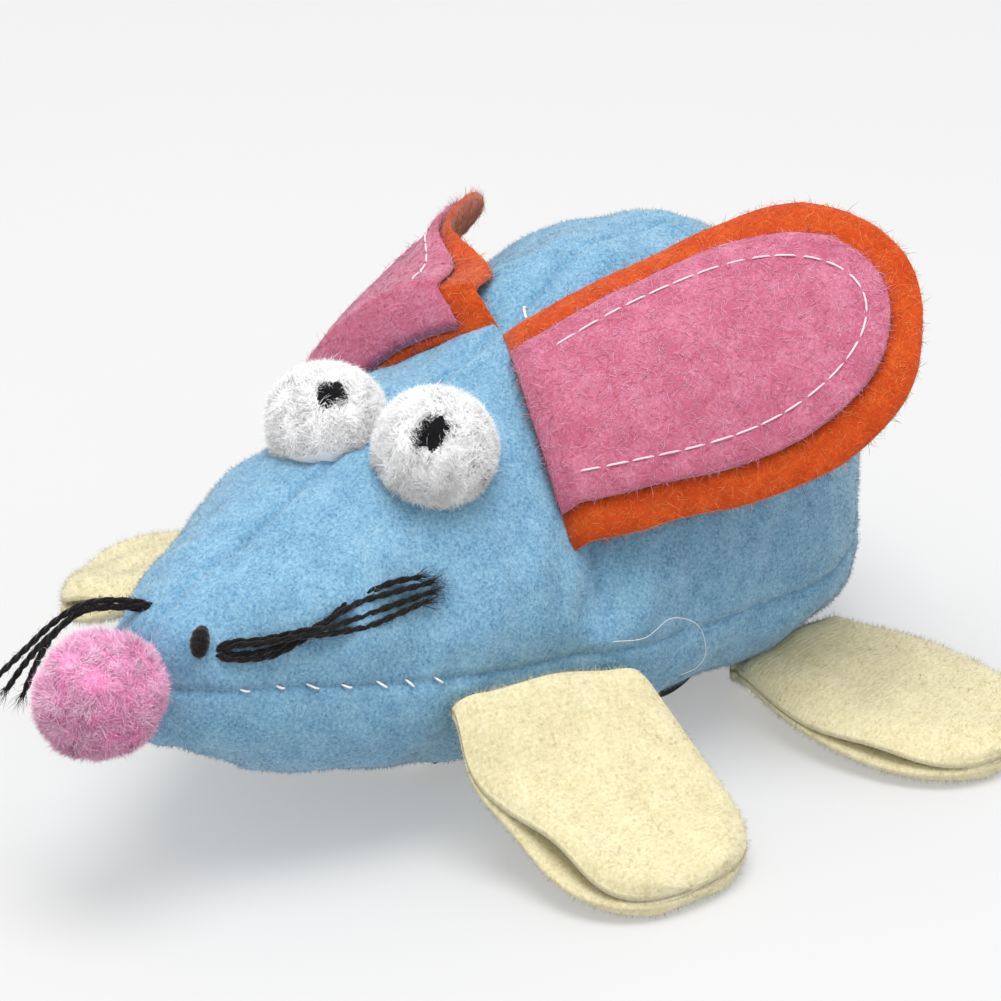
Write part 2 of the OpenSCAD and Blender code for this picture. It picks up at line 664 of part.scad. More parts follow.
head_panel_left();
head_panel_right();
back_panel_left();
back_panel_right();
belly_panel();
stuffing();
nose_pompom();
eye_pompom_left();
eye_pompom_right();
whiskers_left();
whiskers_right();
ear_back_left();
ear_back_right();
ear_lining_left();
ear_lining_right();
foot_top_front_left();
foot_top_front_right();
foot_top_rear_left();
foot_top_rear_right();
foot_sole_front_left();
foot_sole_front_right();
foot_sole_rear_left();
foot_sole_rear_right();
base_plate();
motor_case_right();
motor_case_left();
case_screws();
base_screws();
key_eyelet();
winding_key();
winding_arbor();
ratchet_wheel();
mainspring();
spring_pillar();
great_gear();
click_spring();
second_arbor();
second_wheel();
second_pinion();
governor_arbor();
governor_pinion();
governor_rotor();
governor_weights();
axle_pinion();
drive_axle();
wheel_hub_left();
wheel_hub_right();
wheel_tyre_left();
wheel_tyre_right();
front_roller();
roller_axle();
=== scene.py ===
"""Looks of a small wind-up plush mouse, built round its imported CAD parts.

The mouse has a sewn fleece body, felt ears, velour feet, a pompom face and a spring motor
under its belly. Lengths in this file are millimetres until a mesh is made, and angles round
the body run from 0 at the left side seam over 90 at the crown to 180 at the right one.
"""

from __future__ import annotations

import json
import logging
import math
from dataclasses import dataclass, field
from enum import Enum
from typing import Optional, Sequence

import bmesh
import bpy
import numpy as np
from mathutils import Matrix

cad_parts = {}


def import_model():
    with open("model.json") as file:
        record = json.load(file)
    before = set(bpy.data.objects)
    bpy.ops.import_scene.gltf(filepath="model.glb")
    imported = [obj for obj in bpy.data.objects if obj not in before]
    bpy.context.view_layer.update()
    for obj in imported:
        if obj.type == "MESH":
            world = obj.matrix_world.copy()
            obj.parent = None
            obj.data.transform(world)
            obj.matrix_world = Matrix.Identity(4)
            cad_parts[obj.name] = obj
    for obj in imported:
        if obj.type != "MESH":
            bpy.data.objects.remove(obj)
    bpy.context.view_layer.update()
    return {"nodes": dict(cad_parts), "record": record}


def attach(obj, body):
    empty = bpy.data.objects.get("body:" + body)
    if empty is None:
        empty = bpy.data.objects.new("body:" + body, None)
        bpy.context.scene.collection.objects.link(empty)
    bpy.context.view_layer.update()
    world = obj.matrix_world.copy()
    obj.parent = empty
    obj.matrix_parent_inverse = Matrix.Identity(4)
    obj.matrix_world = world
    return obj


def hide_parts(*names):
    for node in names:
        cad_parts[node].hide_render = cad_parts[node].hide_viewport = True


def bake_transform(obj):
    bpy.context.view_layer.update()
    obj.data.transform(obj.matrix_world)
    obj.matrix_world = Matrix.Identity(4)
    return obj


MM = 0.001
WELD = 2e-6
BANDS_PER_MM = 314.0
Array = np.ndarray
Pair = tuple[float, float]
Triple = tuple[float, float, float]
Quad = tuple[float, float, float, float]
Colour = Triple
Shape = tuple[Array, list[Array]]
Route = tuple[Triple, ...]
log = logging.getLogger("mouse")


# ---------------------------------------------------------------- arithmetic on arrays
def unit(v: Array) -> Array:
    """Vectors scaled to length one; a zero vector stays zero."""
    return v / np.maximum(np.linalg.norm(v, axis=-1, keepdims=True), 1e-12)


def signed_power(v: Array, power: Array) -> Array:
    """Sign of v times the power of its size."""
    return np.sign(v) * np.abs(v) ** power


def ramp(v: Array, low: float, high: float) -> Array:
    """Smooth step that is 0 at low and 1 at high."""
    t = np.clip((np.asarray(v, float) - low) / (high - low), 0.0, 1.0)
    return t * t * (3.0 - 2.0 * t)


def bell(v: Array, width: float) -> Array:
    """Smooth hump that is 1 at 0 and falls to about a third at width."""
    return np.exp(-((v / width) ** 2))


def eased(count: int) -> Array:
    """count + 1 steps from 0 to 1 that crowd together at both ends, by a half cosine."""
    return (1.0 - np.cos(np.linspace(0.0, math.pi, count + 1))) / 2.0


def lumps(points: Array, wavelength: float, seed: int, waves: int = 14) -> Array:
    """Soft unevenness, about -1 to 1: a sum of plane sine waves in random directions.

    Args:
        points: Places in millimetres, last axis of three.
        wavelength: Mean length of a wave in millimetres.
        seed: Seed of the random directions, lengths and phases.
        waves: How many waves are summed.

    Returns:
        One number for each place.
    """
    rng = np.random.default_rng(seed)
    way = unit(rng.normal(size=(waves, 3)))
    rate = 2.0 * math.pi / wavelength * rng.uniform(0.7, 1.4, (waves, 1))
    phase = rng.uniform(0.0, 2.0 * math.pi, waves)
    return np.sin(points @ (way * rate).T + phase).sum(-1) * math.sqrt(2.0 / waves)


def through(stations: Array, values: Array, at: Array) -> Array:
    """Cubic curve through values at stations, with the mean slope of the neighbours at each.

    Args:
        stations: Rising positions of the known values.
        values: Known values, with any trailing axes.
        at: Positions to read.

    Returns:
        Values at those positions.
    """
    stations, values, at = (np.asarray(v, float) for v in (stations, values, at))
    order = np.arange(len(stations))
    before, after = np.maximum(order - 1, 0), np.minimum(order + 1, len(stations) - 1)
    extra = (1,) * (values.ndim - 1)
    gap = (stations[after] - stations[before]).reshape(-1, *extra)
    slope = (values[after] - values[before]) / gap
    i = np.clip(np.searchsorted(stations, at, side="right") - 1, 0, len(stations) - 2)
    h = (stations[i + 1] - stations[i]).reshape(*at.shape, *extra)
    t = (at - stations[i]).reshape(*at.shape, *extra) / h
    start = (2 * t**3 - 3 * t**2 + 1) * values[i] + (t**3 - 2 * t**2 + t) * h * slope[i]
    return start + (3 * t**2 - 2 * t**3) * values[i + 1] + (t**3 - t**2) * h * slope[i + 1]


def along(route: Array, count: int) -> Array:
    """count points at even steps of the parameter along the smooth curve through a route."""
    route = np.asarray(route, float)
    return through(np.arange(len(route)), route, np.linspace(0.0, len(route) - 1.0, count))


# ---------------------------------------------------------------- faces of grids and tubes
def grid_faces(rows: int, cols: int, closed: bool = False) -> Array:
    """Quads of a grid of rows times cols points, joined round its columns where closed."""
    r = np.arange(rows - 1)[:, None] * cols
    c = np.arange(cols if closed else cols - 1)[None, :]
    n = (c + 1) % cols
    return np.stack([r + c, r + n, r + cols + n, r + cols + c], -1).reshape(-1, 4)


def shell(outer: Array, inner: Array) -> Shape:
    """Closed solid between two grids of points, with a wall of quads round the rim.

    Args:
        outer: Grid of points, rows by columns by three.
        inner: Grid of the same size, a wall's thickness away.

    Returns:
        Points and faces.
    """
    rows, cols = outer.shape[:2]
    count = rows * cols
    face = grid_faces(rows, cols)
    ids = np.arange(count).reshape(rows, cols)
    rim = np.concatenate([ids[0, :-1], ids[:-1, -1], ids[-1, :0:-1], ids[:0:-1, 0]])
    nxt = np.roll(rim, -1)
    wall = np.stack([rim, rim + count, nxt + count, nxt], -1)
    points = np.concatenate([outer.reshape(-1, 3), inner.reshape(-1, 3)])
    return points, [np.concatenate([face, face[:, ::-1] + count, wall])]


def sweep(paths: Array, radii: Array, up: Array, sides: int = 7) -> Shape:
    """Round tubes carried along paths, each closed with a flat face at both ends.

    A ring of points stands square to the path, turned so that its first axis is square to up.

    Args:
        paths: Tubes by points by three.
        radii: Radius at each point, tubes by points or one row for all.
        up: A direction for each point, or one for all.
        sides: Corners of each ring.

    Returns:
        Points and faces.
    """
    tubes, steps = paths.shape[:2]
    tangent = unit(np.gradient(paths, axis=1))
    side = unit(np.cross(tangent, np.broadcast_to(up, paths.shape)))
    over = np.cross(side, tangent)
    turn = np.linspace(0.0, 2.0 * math.pi, sides, endpoint=False)[:, None]
    size = np.broadcast_to(radii, (tubes, steps))[:, :, None, None]
    ring = side[:, :, None] * np.cos(turn) + over[:, :, None] * np.sin(turn)
    points = (paths[:, :, None] + size * ring).reshape(-1, 3)
    base = (np.arange(tubes) * steps * sides)[:, None, None]
    walls = (grid_faces(steps, sides, closed=True)[None] + base).reshape(-1, 4)
    first = np.arange(sides)[None] + base[:, 0]
    last = first + (steps - 1) * sides
    return points, [walls, np.concatenate([first[:, ::-1], last])]


def spikes(paths: Array, width: Array, rng: np.random.Generator) -> Shape:
    """Fine hairs: three-sided closed spikes along paths of two or three points.

    Args:
        paths: Hairs by points by three, from root to tip.
        width: Thickness at the root, one number or one for each hair.
        rng: Source of the random turn of each hair.

    Returns:
        Points and faces, with the hairs in order: the faces of one kind go hair by hair.
    """
    hairs, steps = paths.shape[:2]
    tangent = unit(np.gradient(paths, axis=1))[:, :-1]
    side = unit(np.cross(tangent[:, 0], rng.normal(size=(hairs, 3))))[:, None]
    side = unit(side - (side * tangent).sum(-1, keepdims=True) * tangent)
    over = np.cross(tangent, side)
    turn = np.linspace(0.0, 2.0 * math.pi, 3, endpoint=False)[:, None]
    fade = np.linspace(1.0, 0.35, steps)[:-1] * np.broadcast_to(width, hairs)[:, None] / 2.0
    ring = side[:, :, None] * np.cos(turn) + over[:, :, None] * np.sin(turn)
    rings = paths[:, :-1, None] + fade[:, :, None, None] * ring
    each = 3 * (steps - 1) + 1
    points = np.concatenate([rings.reshape(hairs, -1, 3), paths[:, -1:]], axis=1).reshape(-1, 3)
    base = (np.arange(hairs) * each)[:, None, None]
    j = np.arange(3)
    n = (j + 1) % 3
    top = 3 * (steps - 2)
    cap = np.array([[2, 1, 0]])
    tip = np.stack([top + j, top + n, np.full(3, each - 1)], -1)
    tris = (np.concatenate([cap, tip])[None] + base).reshape(-1, 3)
    if steps == 2:
        return points, [tris]
    walls = np.stack([j, n, n + 3, j + 3], -1)
    return points, [tris, (walls[None] + base).reshape(-1, 4)]


def scatter(points: Array, faces: Sequence[Array], count: int, rng: np.random.Generator) -> tuple[Array, Array]:
    """Random places spread evenly by area over faces of three or four corners.

    Args:
        points: Corner points.
        faces: Lists of faces.
        count: How many places.
        rng: Source of the places.

    Returns:
        Places and the outward direction of the face at each.
    """
    halves = [[f] if f.shape[1] == 3 else [f[:, [0, 1, 2]], f[:, [0, 2, 3]]] for f in faces]
    tris = np.concatenate([half for pair in halves for half in pair])
    a, b, c = (points[tris[:, k]] for k in range(3))
    cross = np.cross(b - a, c - a)
    area = np.linalg.norm(cross, axis=-1)
    pick = np.searchsorted(np.cumsum(area) / area.sum(), rng.random(count)).clip(0, len(tris) - 1)
    u, v = rng.random((2, count))
    fold = u + v > 1.0
    u, v = np.where(fold, 1.0 - u, u)[:, None], np.where(fold, 1.0 - v, v)[:, None]
    return a[pick] + u * (b - a)[pick] + v * (c - a)[pick], unit(cross[pick])


class Draft:
    """A mesh in the making: shells of points and faces in millimetres, each facing outwards."""

    def __init__(self) -> None:
        """Starts empty."""
        self.points: list[Array] = []
        self.faces: list[Array] = []
        self.slots: list[Array] = []
        self.cloth: list[Array] = []
        self.facing: list[Array] = []
        self.count = 0

    def add(
        self,
        shape: Shape,
        slots: Optional[Sequence[Array]] = None,
        slot: int = 0,
        cloth: Optional[Array] = None,
        facing: Optional[Array] = None,
    ) -> "Draft":
        """Adds one shape and turns its faces outwards where its volume comes out negative.

        Args:
            shape: Points and lists of faces.
            slots: Material number of each face, list by list, or None.
            slot: Material number of every face where slots is None.
            cloth: Flat position of each point on the cloth, or None.
            facing: Direction by which each point is shaded, for all shapes of a draft or for none.

        Returns:
            This draft, so that calls can be chained.
        """
        points, faces = shape
        volume = sum(self.volume(points, f) for f in faces)
        for k, f in enumerate(faces):
            self.faces.append((f[:, ::-1] if volume < 0 else f) + self.count)
            self.slots.append(np.full(len(f), slot) if slots is None else np.asarray(slots[k]))
        self.points.append(points)
        self.cloth.append(np.zeros((len(points), 2)) if cloth is None else cloth.reshape(-1, 2))
        if facing is not None:
            self.facing.append(facing)
        self.count += len(points)
        return self

    def hairs(self, paths: Array, width: Array, shade: Array, away: Array, rng: np.random.Generator) -> "Draft":
        """Adds fine hairs, each in one shade and shaded as the cloth that it grows from.

        Args:
            paths: Hairs by points by three, from root to tip.
            width: Thickness of each hair at its root.
            shade: Material number of each hair.
            away: Direction that the cloth faces under each hair.
            rng: Source of the turn of each hair.

        Returns:
            This draft.
        """
        points, faces = spikes(paths, width, rng)
        count = len(paths)
        slots = [np.repeat(shade, len(f) // count) for f in faces]
        return self.add((points, faces), slots, facing=np.repeat(away, len(points) // count, axis=0))

    @staticmethod
    def volume(points: Array, faces: Array) -> float:
        """Six times the signed volume under fans of triangles from each face's first corner."""
        a = points[faces[:, 0]]
        pairs = ((points[faces[:, k]], points[faces[:, k + 1]]) for k in range(1, faces.shape[1] - 1))
        return float(sum((a * np.cross(b, c)).sum() for b, c in pairs))

    @classmethod
    def outward(cls, points: Array, faces: Array) -> Array:
        """Faces of a closed shape, turned over where its volume comes out negative."""
        return faces if cls.volume(points, faces) > 0 else faces[:, ::-1]

    def area(self) -> float:
        """Half the area of all faces in square millimetres, which is a sheet's area on one side."""
        points = np.concatenate(self.points)
        total = 0.0
        for f in self.faces:
            for k in range(1, f.shape[1] - 1):
                edge = points[f[:, [k, k + 1]]] - points[f[:, :1]]
                total += np.linalg.norm(np.cross(edge[:, 0], edge[:, 1]), axis=-1).sum()
        return total / 4.0

    def piece(
        self, name: str, finishes: Sequence["Finish"], smooth: bool = True, weld: bool = False
    ) -> bpy.types.Object:
        """Makes the Blender mesh object.

        Args:
            name: Name of the piece.
            finishes: Finishes in the order of the material numbers.
            smooth: Whether faces are shaded as one smooth skin.
            weld: Whether points in one place become one point.

        Returns:
            The new object, linked to the scene.
        """
        mesh = bpy.data.meshes.new(name)
        corners = np.concatenate([f.ravel() for f in self.faces])
        sizes = np.concatenate([np.full(len(f), f.shape[1]) for f in self.faces])
        mesh.vertices.add(self.count)
        mesh.vertices.foreach_set("co", (np.concatenate(self.points) * MM).astype(np.float32).ravel())
        mesh.loops.add(len(corners))
        mesh.loops.foreach_set("vertex_index", corners.astype(np.int32))
        mesh.polygons.add(len(sizes))
        mesh.polygons.foreach_set("loop_start", (np.cumsum(sizes) - sizes).astype(np.int32))
        mesh.polygons.foreach_set("material_index", np.concatenate(self.slots).astype(np.int32))
        mesh.polygons.foreach_set("use_smooth", np.full(len(sizes), smooth))
        layer = mesh.uv_layers.new(name="cloth")
        layer.uv.foreach_set("vector", (np.concatenate(self.cloth)[corners] * MM).astype(np.float32).ravel())
        mesh.update(calc_edges=True)
        if self.facing:
            mesh.normals_split_custom_set_from_vertices(np.concatenate(self.facing).astype(np.float32))
        if weld:
            work = bmesh.new()
            work.from_mesh(mesh)
            bmesh.ops.remove_doubles(work, verts=work.verts, dist=WELD)
            work.to_mesh(mesh)
            work.free()
        for finish in finishes:
            mesh.materials.append(finish.material())
        made = bpy.data.objects.new(name, mesh)
        bpy.context.scene.collection.objects.link(made)
        log.info("%s: %d faces", name, len(mesh.polygons))
        return made


# ---------------------------------------------------------------- finishes
def linear(colour: Colour) -> Quad:
    """A colour of display values 0 to 255 as linear light with alpha 1."""
    c = np.array(colour) / 255.0
    low, high = c / 12.92, ((c + 0.055) / 1.055) ** 2.4
    r, g, b = np.where(c <= 0.04045, low, high)
    return (float(r), float(g), float(b), 1.0)


class Graph:
    """A material being wired, with short calls for its nodes."""

    def __init__(self, name: str) -> None:
        """Makes the material with one Principled shader."""
        self.made = bpy.data.materials.new(name)
        self.made.use_nodes = True
        self.tree = self.made.node_tree
        self.shader = self.tree.nodes["Principled BSDF"]

    def node(self, kind: str, inputs: Optional[dict[str, object]] = None, **settings: object) -> bpy.types.Node:
        """Adds a node.

        Args:
            kind: Node type without its ShaderNode prefix.
            inputs: Values or sockets for its inputs.
            settings: Properties of the node.

        Returns:
            The node.
        """
        made = self.tree.nodes.new("ShaderNode" + kind)
        for key, value in settings.items():
            setattr(made, key, value)
        for key, value in (inputs or {}).items():
            self.feed(made.inputs[key], value)
        return made

    def feed(self, socket: bpy.types.NodeSocket, value: object) -> None:
        """Links a socket to value, or sets it to value."""
        if isinstance(value, bpy.types.NodeSocket):
            self.tree.links.new(value, socket)
        else:
            socket.default_value = value

    def place(self) -> bpy.types.NodeSocket:
        """Object coordinates."""
        return self.node("TexCoord").outputs["Object"]

    def noise(self, size: float, detail: float = 2.0, bend: float = 0.0, ridged: bool = False,
              at: Optional[bpy.types.NodeSocket] = None) -> bpy.types.NodeSocket:
        """Noise whose grains are about size millimetres across.

        Args:
            size: Grain in millimetres.
            detail: Octaves of finer noise.
            bend: Distortion.
            ridged: Whether the noise makes thin ridges, as matted fibres do.
            at: Coordinates, or None for object coordinates.

        Returns:
            The noise value.
        """
        kind = "RIDGED_MULTIFRACTAL" if ridged else "FBM"
        inputs = {"Vector": at or self.place(), "Scale": 1000.0 / size, "Detail": detail, "Distortion": bend}
        return self.node("TexNoise", inputs, noise_type=kind).outputs[0]

    def math(self, operation: str, a: object, b: object = 0.0) -> bpy.types.NodeSocket:
        """One arithmetic step on two values or sockets."""
        made = self.node("Math", operation=operation)
        self.feed(made.inputs[0], a)
        self.feed(made.inputs[1], b)
        return made.outputs[0]

    def blend(self, stops: Sequence[tuple[float, Colour]], value: object) -> bpy.types.NodeSocket:
        """Colour ramp through display colours at the given stops."""
        made = self.node("ValToRGB", {"Fac": value})
        elements = made.color_ramp.elements
        while len(elements) < len(stops):
            elements.new(1.0)
        for element, (at, colour) in zip(elements, stops):
            element.position = at
            element.color = linear(colour)
        return made.outputs["Color"]

    def bump(self, height: object, depth: float, strength: float = 1.0) -> bpy.types.NodeSocket:
        """Bump whose full height is depth millimetres."""
        return self.node("Bump", {"Height": height, "Distance": depth * MM, "Strength": strength}).outputs["Normal"]

    def set(self, **values: object) -> None:
        """Feeds the shader's inputs, whose names are written with _ for each space."""
        for key, value in values.items():
            self.feed(self.shader.inputs[key.replace("_", " ")], value)


@dataclass(frozen=True)
class Finish:
    """A named surface finish; its material is wired once and shared."""

    name: str

    def material(self) -> bpy.types.Material:
        """The finish's material."""
        known = bpy.data.materials.get(self.name)
        if known is not None:
            return known
        graph = Graph(self.name)
        self.wire(graph)
        return graph.made

    def wire(self, graph: Graph) -> None:
        """Adds the finish's nodes; each kind of finish has its own."""
        raise NotImplementedError


class Weave(Enum):
    """How a cloth is made, which sets the pattern of its surface."""

    NAP = "short raised nap"
    FELT = "matted fibres"
    RIB = "fine knitted ribs"


@dataclass(frozen=True)
class Cloth(Finish):
    """A cloth with its shades from deep to light.

    Attributes:
        deep: Tone where the grain is lowest, in the hollows of the bump: painted shade between the fibres, over
            random mottling.
        mid: Main shade.
        light: Tone where the grain is highest, on the crests of the bump: painted highlight on the fibre tips, over
            random mottling.
        weave: Kind of surface.
        grain: Size of the fine pattern in millimetres.
        relief: Depth of the fine pattern in millimetres.
        sheen: Weight of the soft edge glow.
        rib: Distance between knitted ribs in millimetres.
    """

    deep: Colour
    mid: Colour
    light: Colour
    weave: Weave
    grain: float = 0.4
    relief: float = 0.12
    sheen: float = 0.3
    rib: float = 0.5

    def wire(self, graph: Graph) -> None:
        """Mixes fine grain with broad mottling, and lets the same grain raise the surface, so that the colour is
        painted darker in the bump's hollows and lighter on its crests.
        """
        fine = graph.noise(self.grain, 3.0, 0.6)
        broad = graph.noise(self.grain * 9.0, 2.0)
        if self.weave is Weave.FELT:
            fibres = graph.noise(self.grain * 2.2, 4.0, 1.8, ridged=True)
            fine = graph.math("ADD", graph.math("MULTIPLY", fibres, 0.3), graph.math("MULTIPLY", fine, 0.5))
        mix = graph.math("ADD", graph.math("MULTIPLY", fine, 0.7), graph.math("MULTIPLY", broad, 0.3))
        height = mix
        if self.weave is Weave.RIB:
            flat = graph.node("UVMap", uv_map="cloth").outputs["UV"]
            inputs = {"Vector": flat, "Scale": BANDS_PER_MM / self.rib, "Distortion": 1.2}
            inputs |= {"Detail": 2.0, "Detail Scale": 2.0}
            rib = graph.node("TexWave", inputs, wave_type="BANDS", bands_direction="Y").outputs["Fac"]
            height = graph.math("ADD", graph.math("MULTIPLY", rib, 0.28), mix)
            # The rib crests are painted a little lighter than their hollows: a painted highlight on the ribs.
            mix = graph.math("ADD", graph.math("MULTIPLY", rib, 0.035), mix)
        # The ramp reads the same value as the bump: painted shade in its hollows and painted highlight on its crests,
        # over random mottling.
        shade = graph.blend([(0.3, self.deep), (0.5, self.mid), (0.72, self.light)], mix)
        graph.set(Base_Color=shade, Normal=graph.bump(height, self.relief, 0.9), Roughness=0.95)
        graph.set(Sheen_Weight=self.sheen, Sheen_Roughness=0.45, Specular_IOR_Level=0.15)


@dataclass(frozen=True)
class Fibre(Finish):
    """One shade of loose fibre.

    Attributes:
        colour: Dye.
        sheen: Weight of the soft edge glow.
        roughness: Mean roughness.
    """

    colour: Colour
    sheen: float = 0.1
    roughness: float = 0.8

    def wire(self, graph: Graph) -> None:
        """Plain dye, with roughness that varies from fibre to fibre."""
        fleck = graph.noise(0.3, 1.0)
        rough = graph.math("ADD", graph.math("MULTIPLY", fleck, 0.2), self.roughness - 0.1)
        graph.set(Base_Color=linear(self.colour), Roughness=rough, Sheen_Weight=self.sheen, Specular_IOR_Level=0.2)


@dataclass(frozen=True)
class Moulded(Finish):
    """Moulded plastic or rubber.

    Attributes:
        colour: Main shade.
        worn: Shade of scuffs and dust.
        roughness: Mean roughness.
        texture: Grain of the mould in millimetres.
        depth: Depth of that grain in millimetres.
    """

    colour: Colour
    worn: Colour
    roughness: float = 0.4
    texture: float = 0.5
    depth: float = 0.02

    def wire(self, graph: Graph) -> None:
        """Broad scuffs over a fine mould texture."""
        scuffs = graph.noise(self.texture * 14.0, 5.0, 0.8)
        grain = graph.noise(self.texture, 2.0)
        shade = graph.blend([(0.45, self.colour), (0.75, self.worn)], scuffs)
        rough = graph.math("ADD", graph.math("MULTIPLY", scuffs, 0.25), self.roughness - 0.12)
        graph.set(Base_Color=shade, Roughness=rough, Normal=graph.bump(grain, self.depth, 0.6))


@dataclass(frozen=True)
class Metal(Finish):
    """Metal with fine brush marks and faint tarnish.

    Attributes:
        colour: Shade of the clean metal.
        tarnish: Shade of the tarnish.
        roughness: Mean roughness.
    """

    colour: Colour
    tarnish: Colour
    roughness: float = 0.25

    def wire(self, graph: Graph) -> None:
        """Brush marks from noise stretched along the axles, and broad tarnish."""
        stretched = graph.node("Mapping", {"Vector": graph.place(), "Scale": (1.0, 0.12, 1.0)}).outputs["Vector"]
        marks = graph.noise(0.12, 2.0, at=stretched)
        cloud = graph.noise(5.0, 4.0)
        rough = graph.math("ADD", graph.math("MULTIPLY", cloud, 0.2), self.roughness - 0.08)
        shade = graph.blend([(0.42, self.colour), (0.78, self.tarnish)], cloud)
        graph.set(Base_Color=shade, Metallic=1.0, Roughness=rough, Normal=graph.bump(marks, 0.012, 0.35))


FLEECE = Cloth("sky_fleece", (78, 122, 158), (116, 160, 188), (148, 186, 207), Weave.NAP, 0.3, 0.12, 0.35)
FLEECE_NAP = (
    Fibre("fleece_fibre_deep", (88, 135, 171)),
    Fibre("fleece_fibre_mid", (124, 168, 195)),
    Fibre("fleece_fibre_light", (160, 195, 214)),
)
BACK_FELT = Cloth("orange_felt", (176, 60, 16), (203, 86, 30), (222, 118, 56), Weave.FELT, 0.3, 0.1, 0.3)
BACK_FIBRES = (
    Fibre("orange_fibre_deep", (184, 66, 20)),
    Fibre("orange_fibre_mid", (206, 90, 34)),
    Fibre("orange_fibre_light", (226, 130, 74)),
)
LINING_FELT = Cloth("pink_felt", (176, 90, 114), (202, 128, 154), (222, 162, 188), Weave.FELT, 0.3, 0.1, 0.3)
LINING_FIBRES = (
    Fibre("pink_fibre_deep", (180, 78, 100)),
    Fibre("pink_fibre_mid", (206, 128, 156)),
    Fibre("pink_fibre_light", (220, 158, 186)),
)
VELOUR = Cloth("cream_velour", (196, 184, 140), (214, 204, 164), (226, 218, 184), Weave.RIB, 0.3, 0.07, 0.35)
VELOUR_NAP = (
    Fibre("velour_fibre_mid", (214, 204, 166)),
    Fibre("velour_fibre_light", (228, 220, 188)),
)
NOSE_CORE = Cloth("nose_core_fibre", (220, 110, 166), (238, 146, 194), (246, 178, 214), Weave.NAP, 0.5, 0.3, 0.3)
NOSE_FIBRES = (
    Fibre("nose_fibre_deep", (236, 140, 190)),
    Fibre("nose_fibre_mid", (248, 180, 217)),
    Fibre("nose_fibre_light", (253, 215, 236)),
)
EYE_CORE = Cloth("eye_core_fibre", (244, 244, 245), (250, 250, 250), (254, 254, 254), Weave.NAP, 0.5, 0.15, 0.2)
EYE_FIBRES = (
    Fibre("eye_fibre_shade", (250, 250, 251)),
    Fibre("eye_fibre_white", (255, 255, 255)),
    Fibre("eye_fibre_ink", (22, 20, 24)),
)
YARN = Cloth("black_yarn", (8, 7, 8), (20, 18, 19), (44, 40, 42), Weave.NAP, 0.2, 0.05, 0.25)
YARN_FUZZ = Fibre("yarn_fibre", (28, 25, 26))
THREAD = Cloth("white_thread", (216, 204, 208), (240, 232, 234), (252, 250, 250), Weave.NAP, 0.15, 0.03, 0.2)
PINK_THREAD = Cloth("pink_thread", (226, 176, 194), (244, 206, 220), (252, 232, 238), Weave.NAP, 0.15, 0.03, 0.2)

PART_FINISHES: dict[str, Finish] = {
    "fleece": FLEECE,
    "stuffing": Cloth("white_stuffing", (222, 220, 212), (238, 236, 230), (250, 250, 246), Weave.FELT, 1.2, 0.5, 0.2),
    "nose_pompom": NOSE_CORE,
    "eye_pompom": EYE_CORE,
    "whisker_yarn": YARN,
    "ear_felt": BACK_FELT,
    "lining_felt": LINING_FELT,
    "velour": VELOUR,
    "base_plastic": Moulded("black_base_plastic", (30, 30, 33), (58, 58, 60), 0.5, 0.35, 0.03),
    "case_plastic": Moulded("milky_case_plastic", (226, 226, 220), (206, 206, 198), 0.35, 0.6, 0.01),
    "gear_brass": Metal("stamped_brass", (226, 184, 104), (176, 132, 62), 0.28),
    "spring_steel": Metal("blued_spring_steel", (120, 130, 158), (84, 90, 112), 0.3),
    "plated_steel": Metal("bright_plated_steel", (214, 216, 220), (172, 174, 178), 0.16),
    "wheel_plastic": Moulded("white_wheel_plastic", (236, 236, 230), (214, 212, 204), 0.35, 0.5, 0.01),
    "tyre_rubber": Moulded("black_tyre_rubber", (24, 24, 25), (52, 50, 48), 0.78, 0.25, 0.04),
}


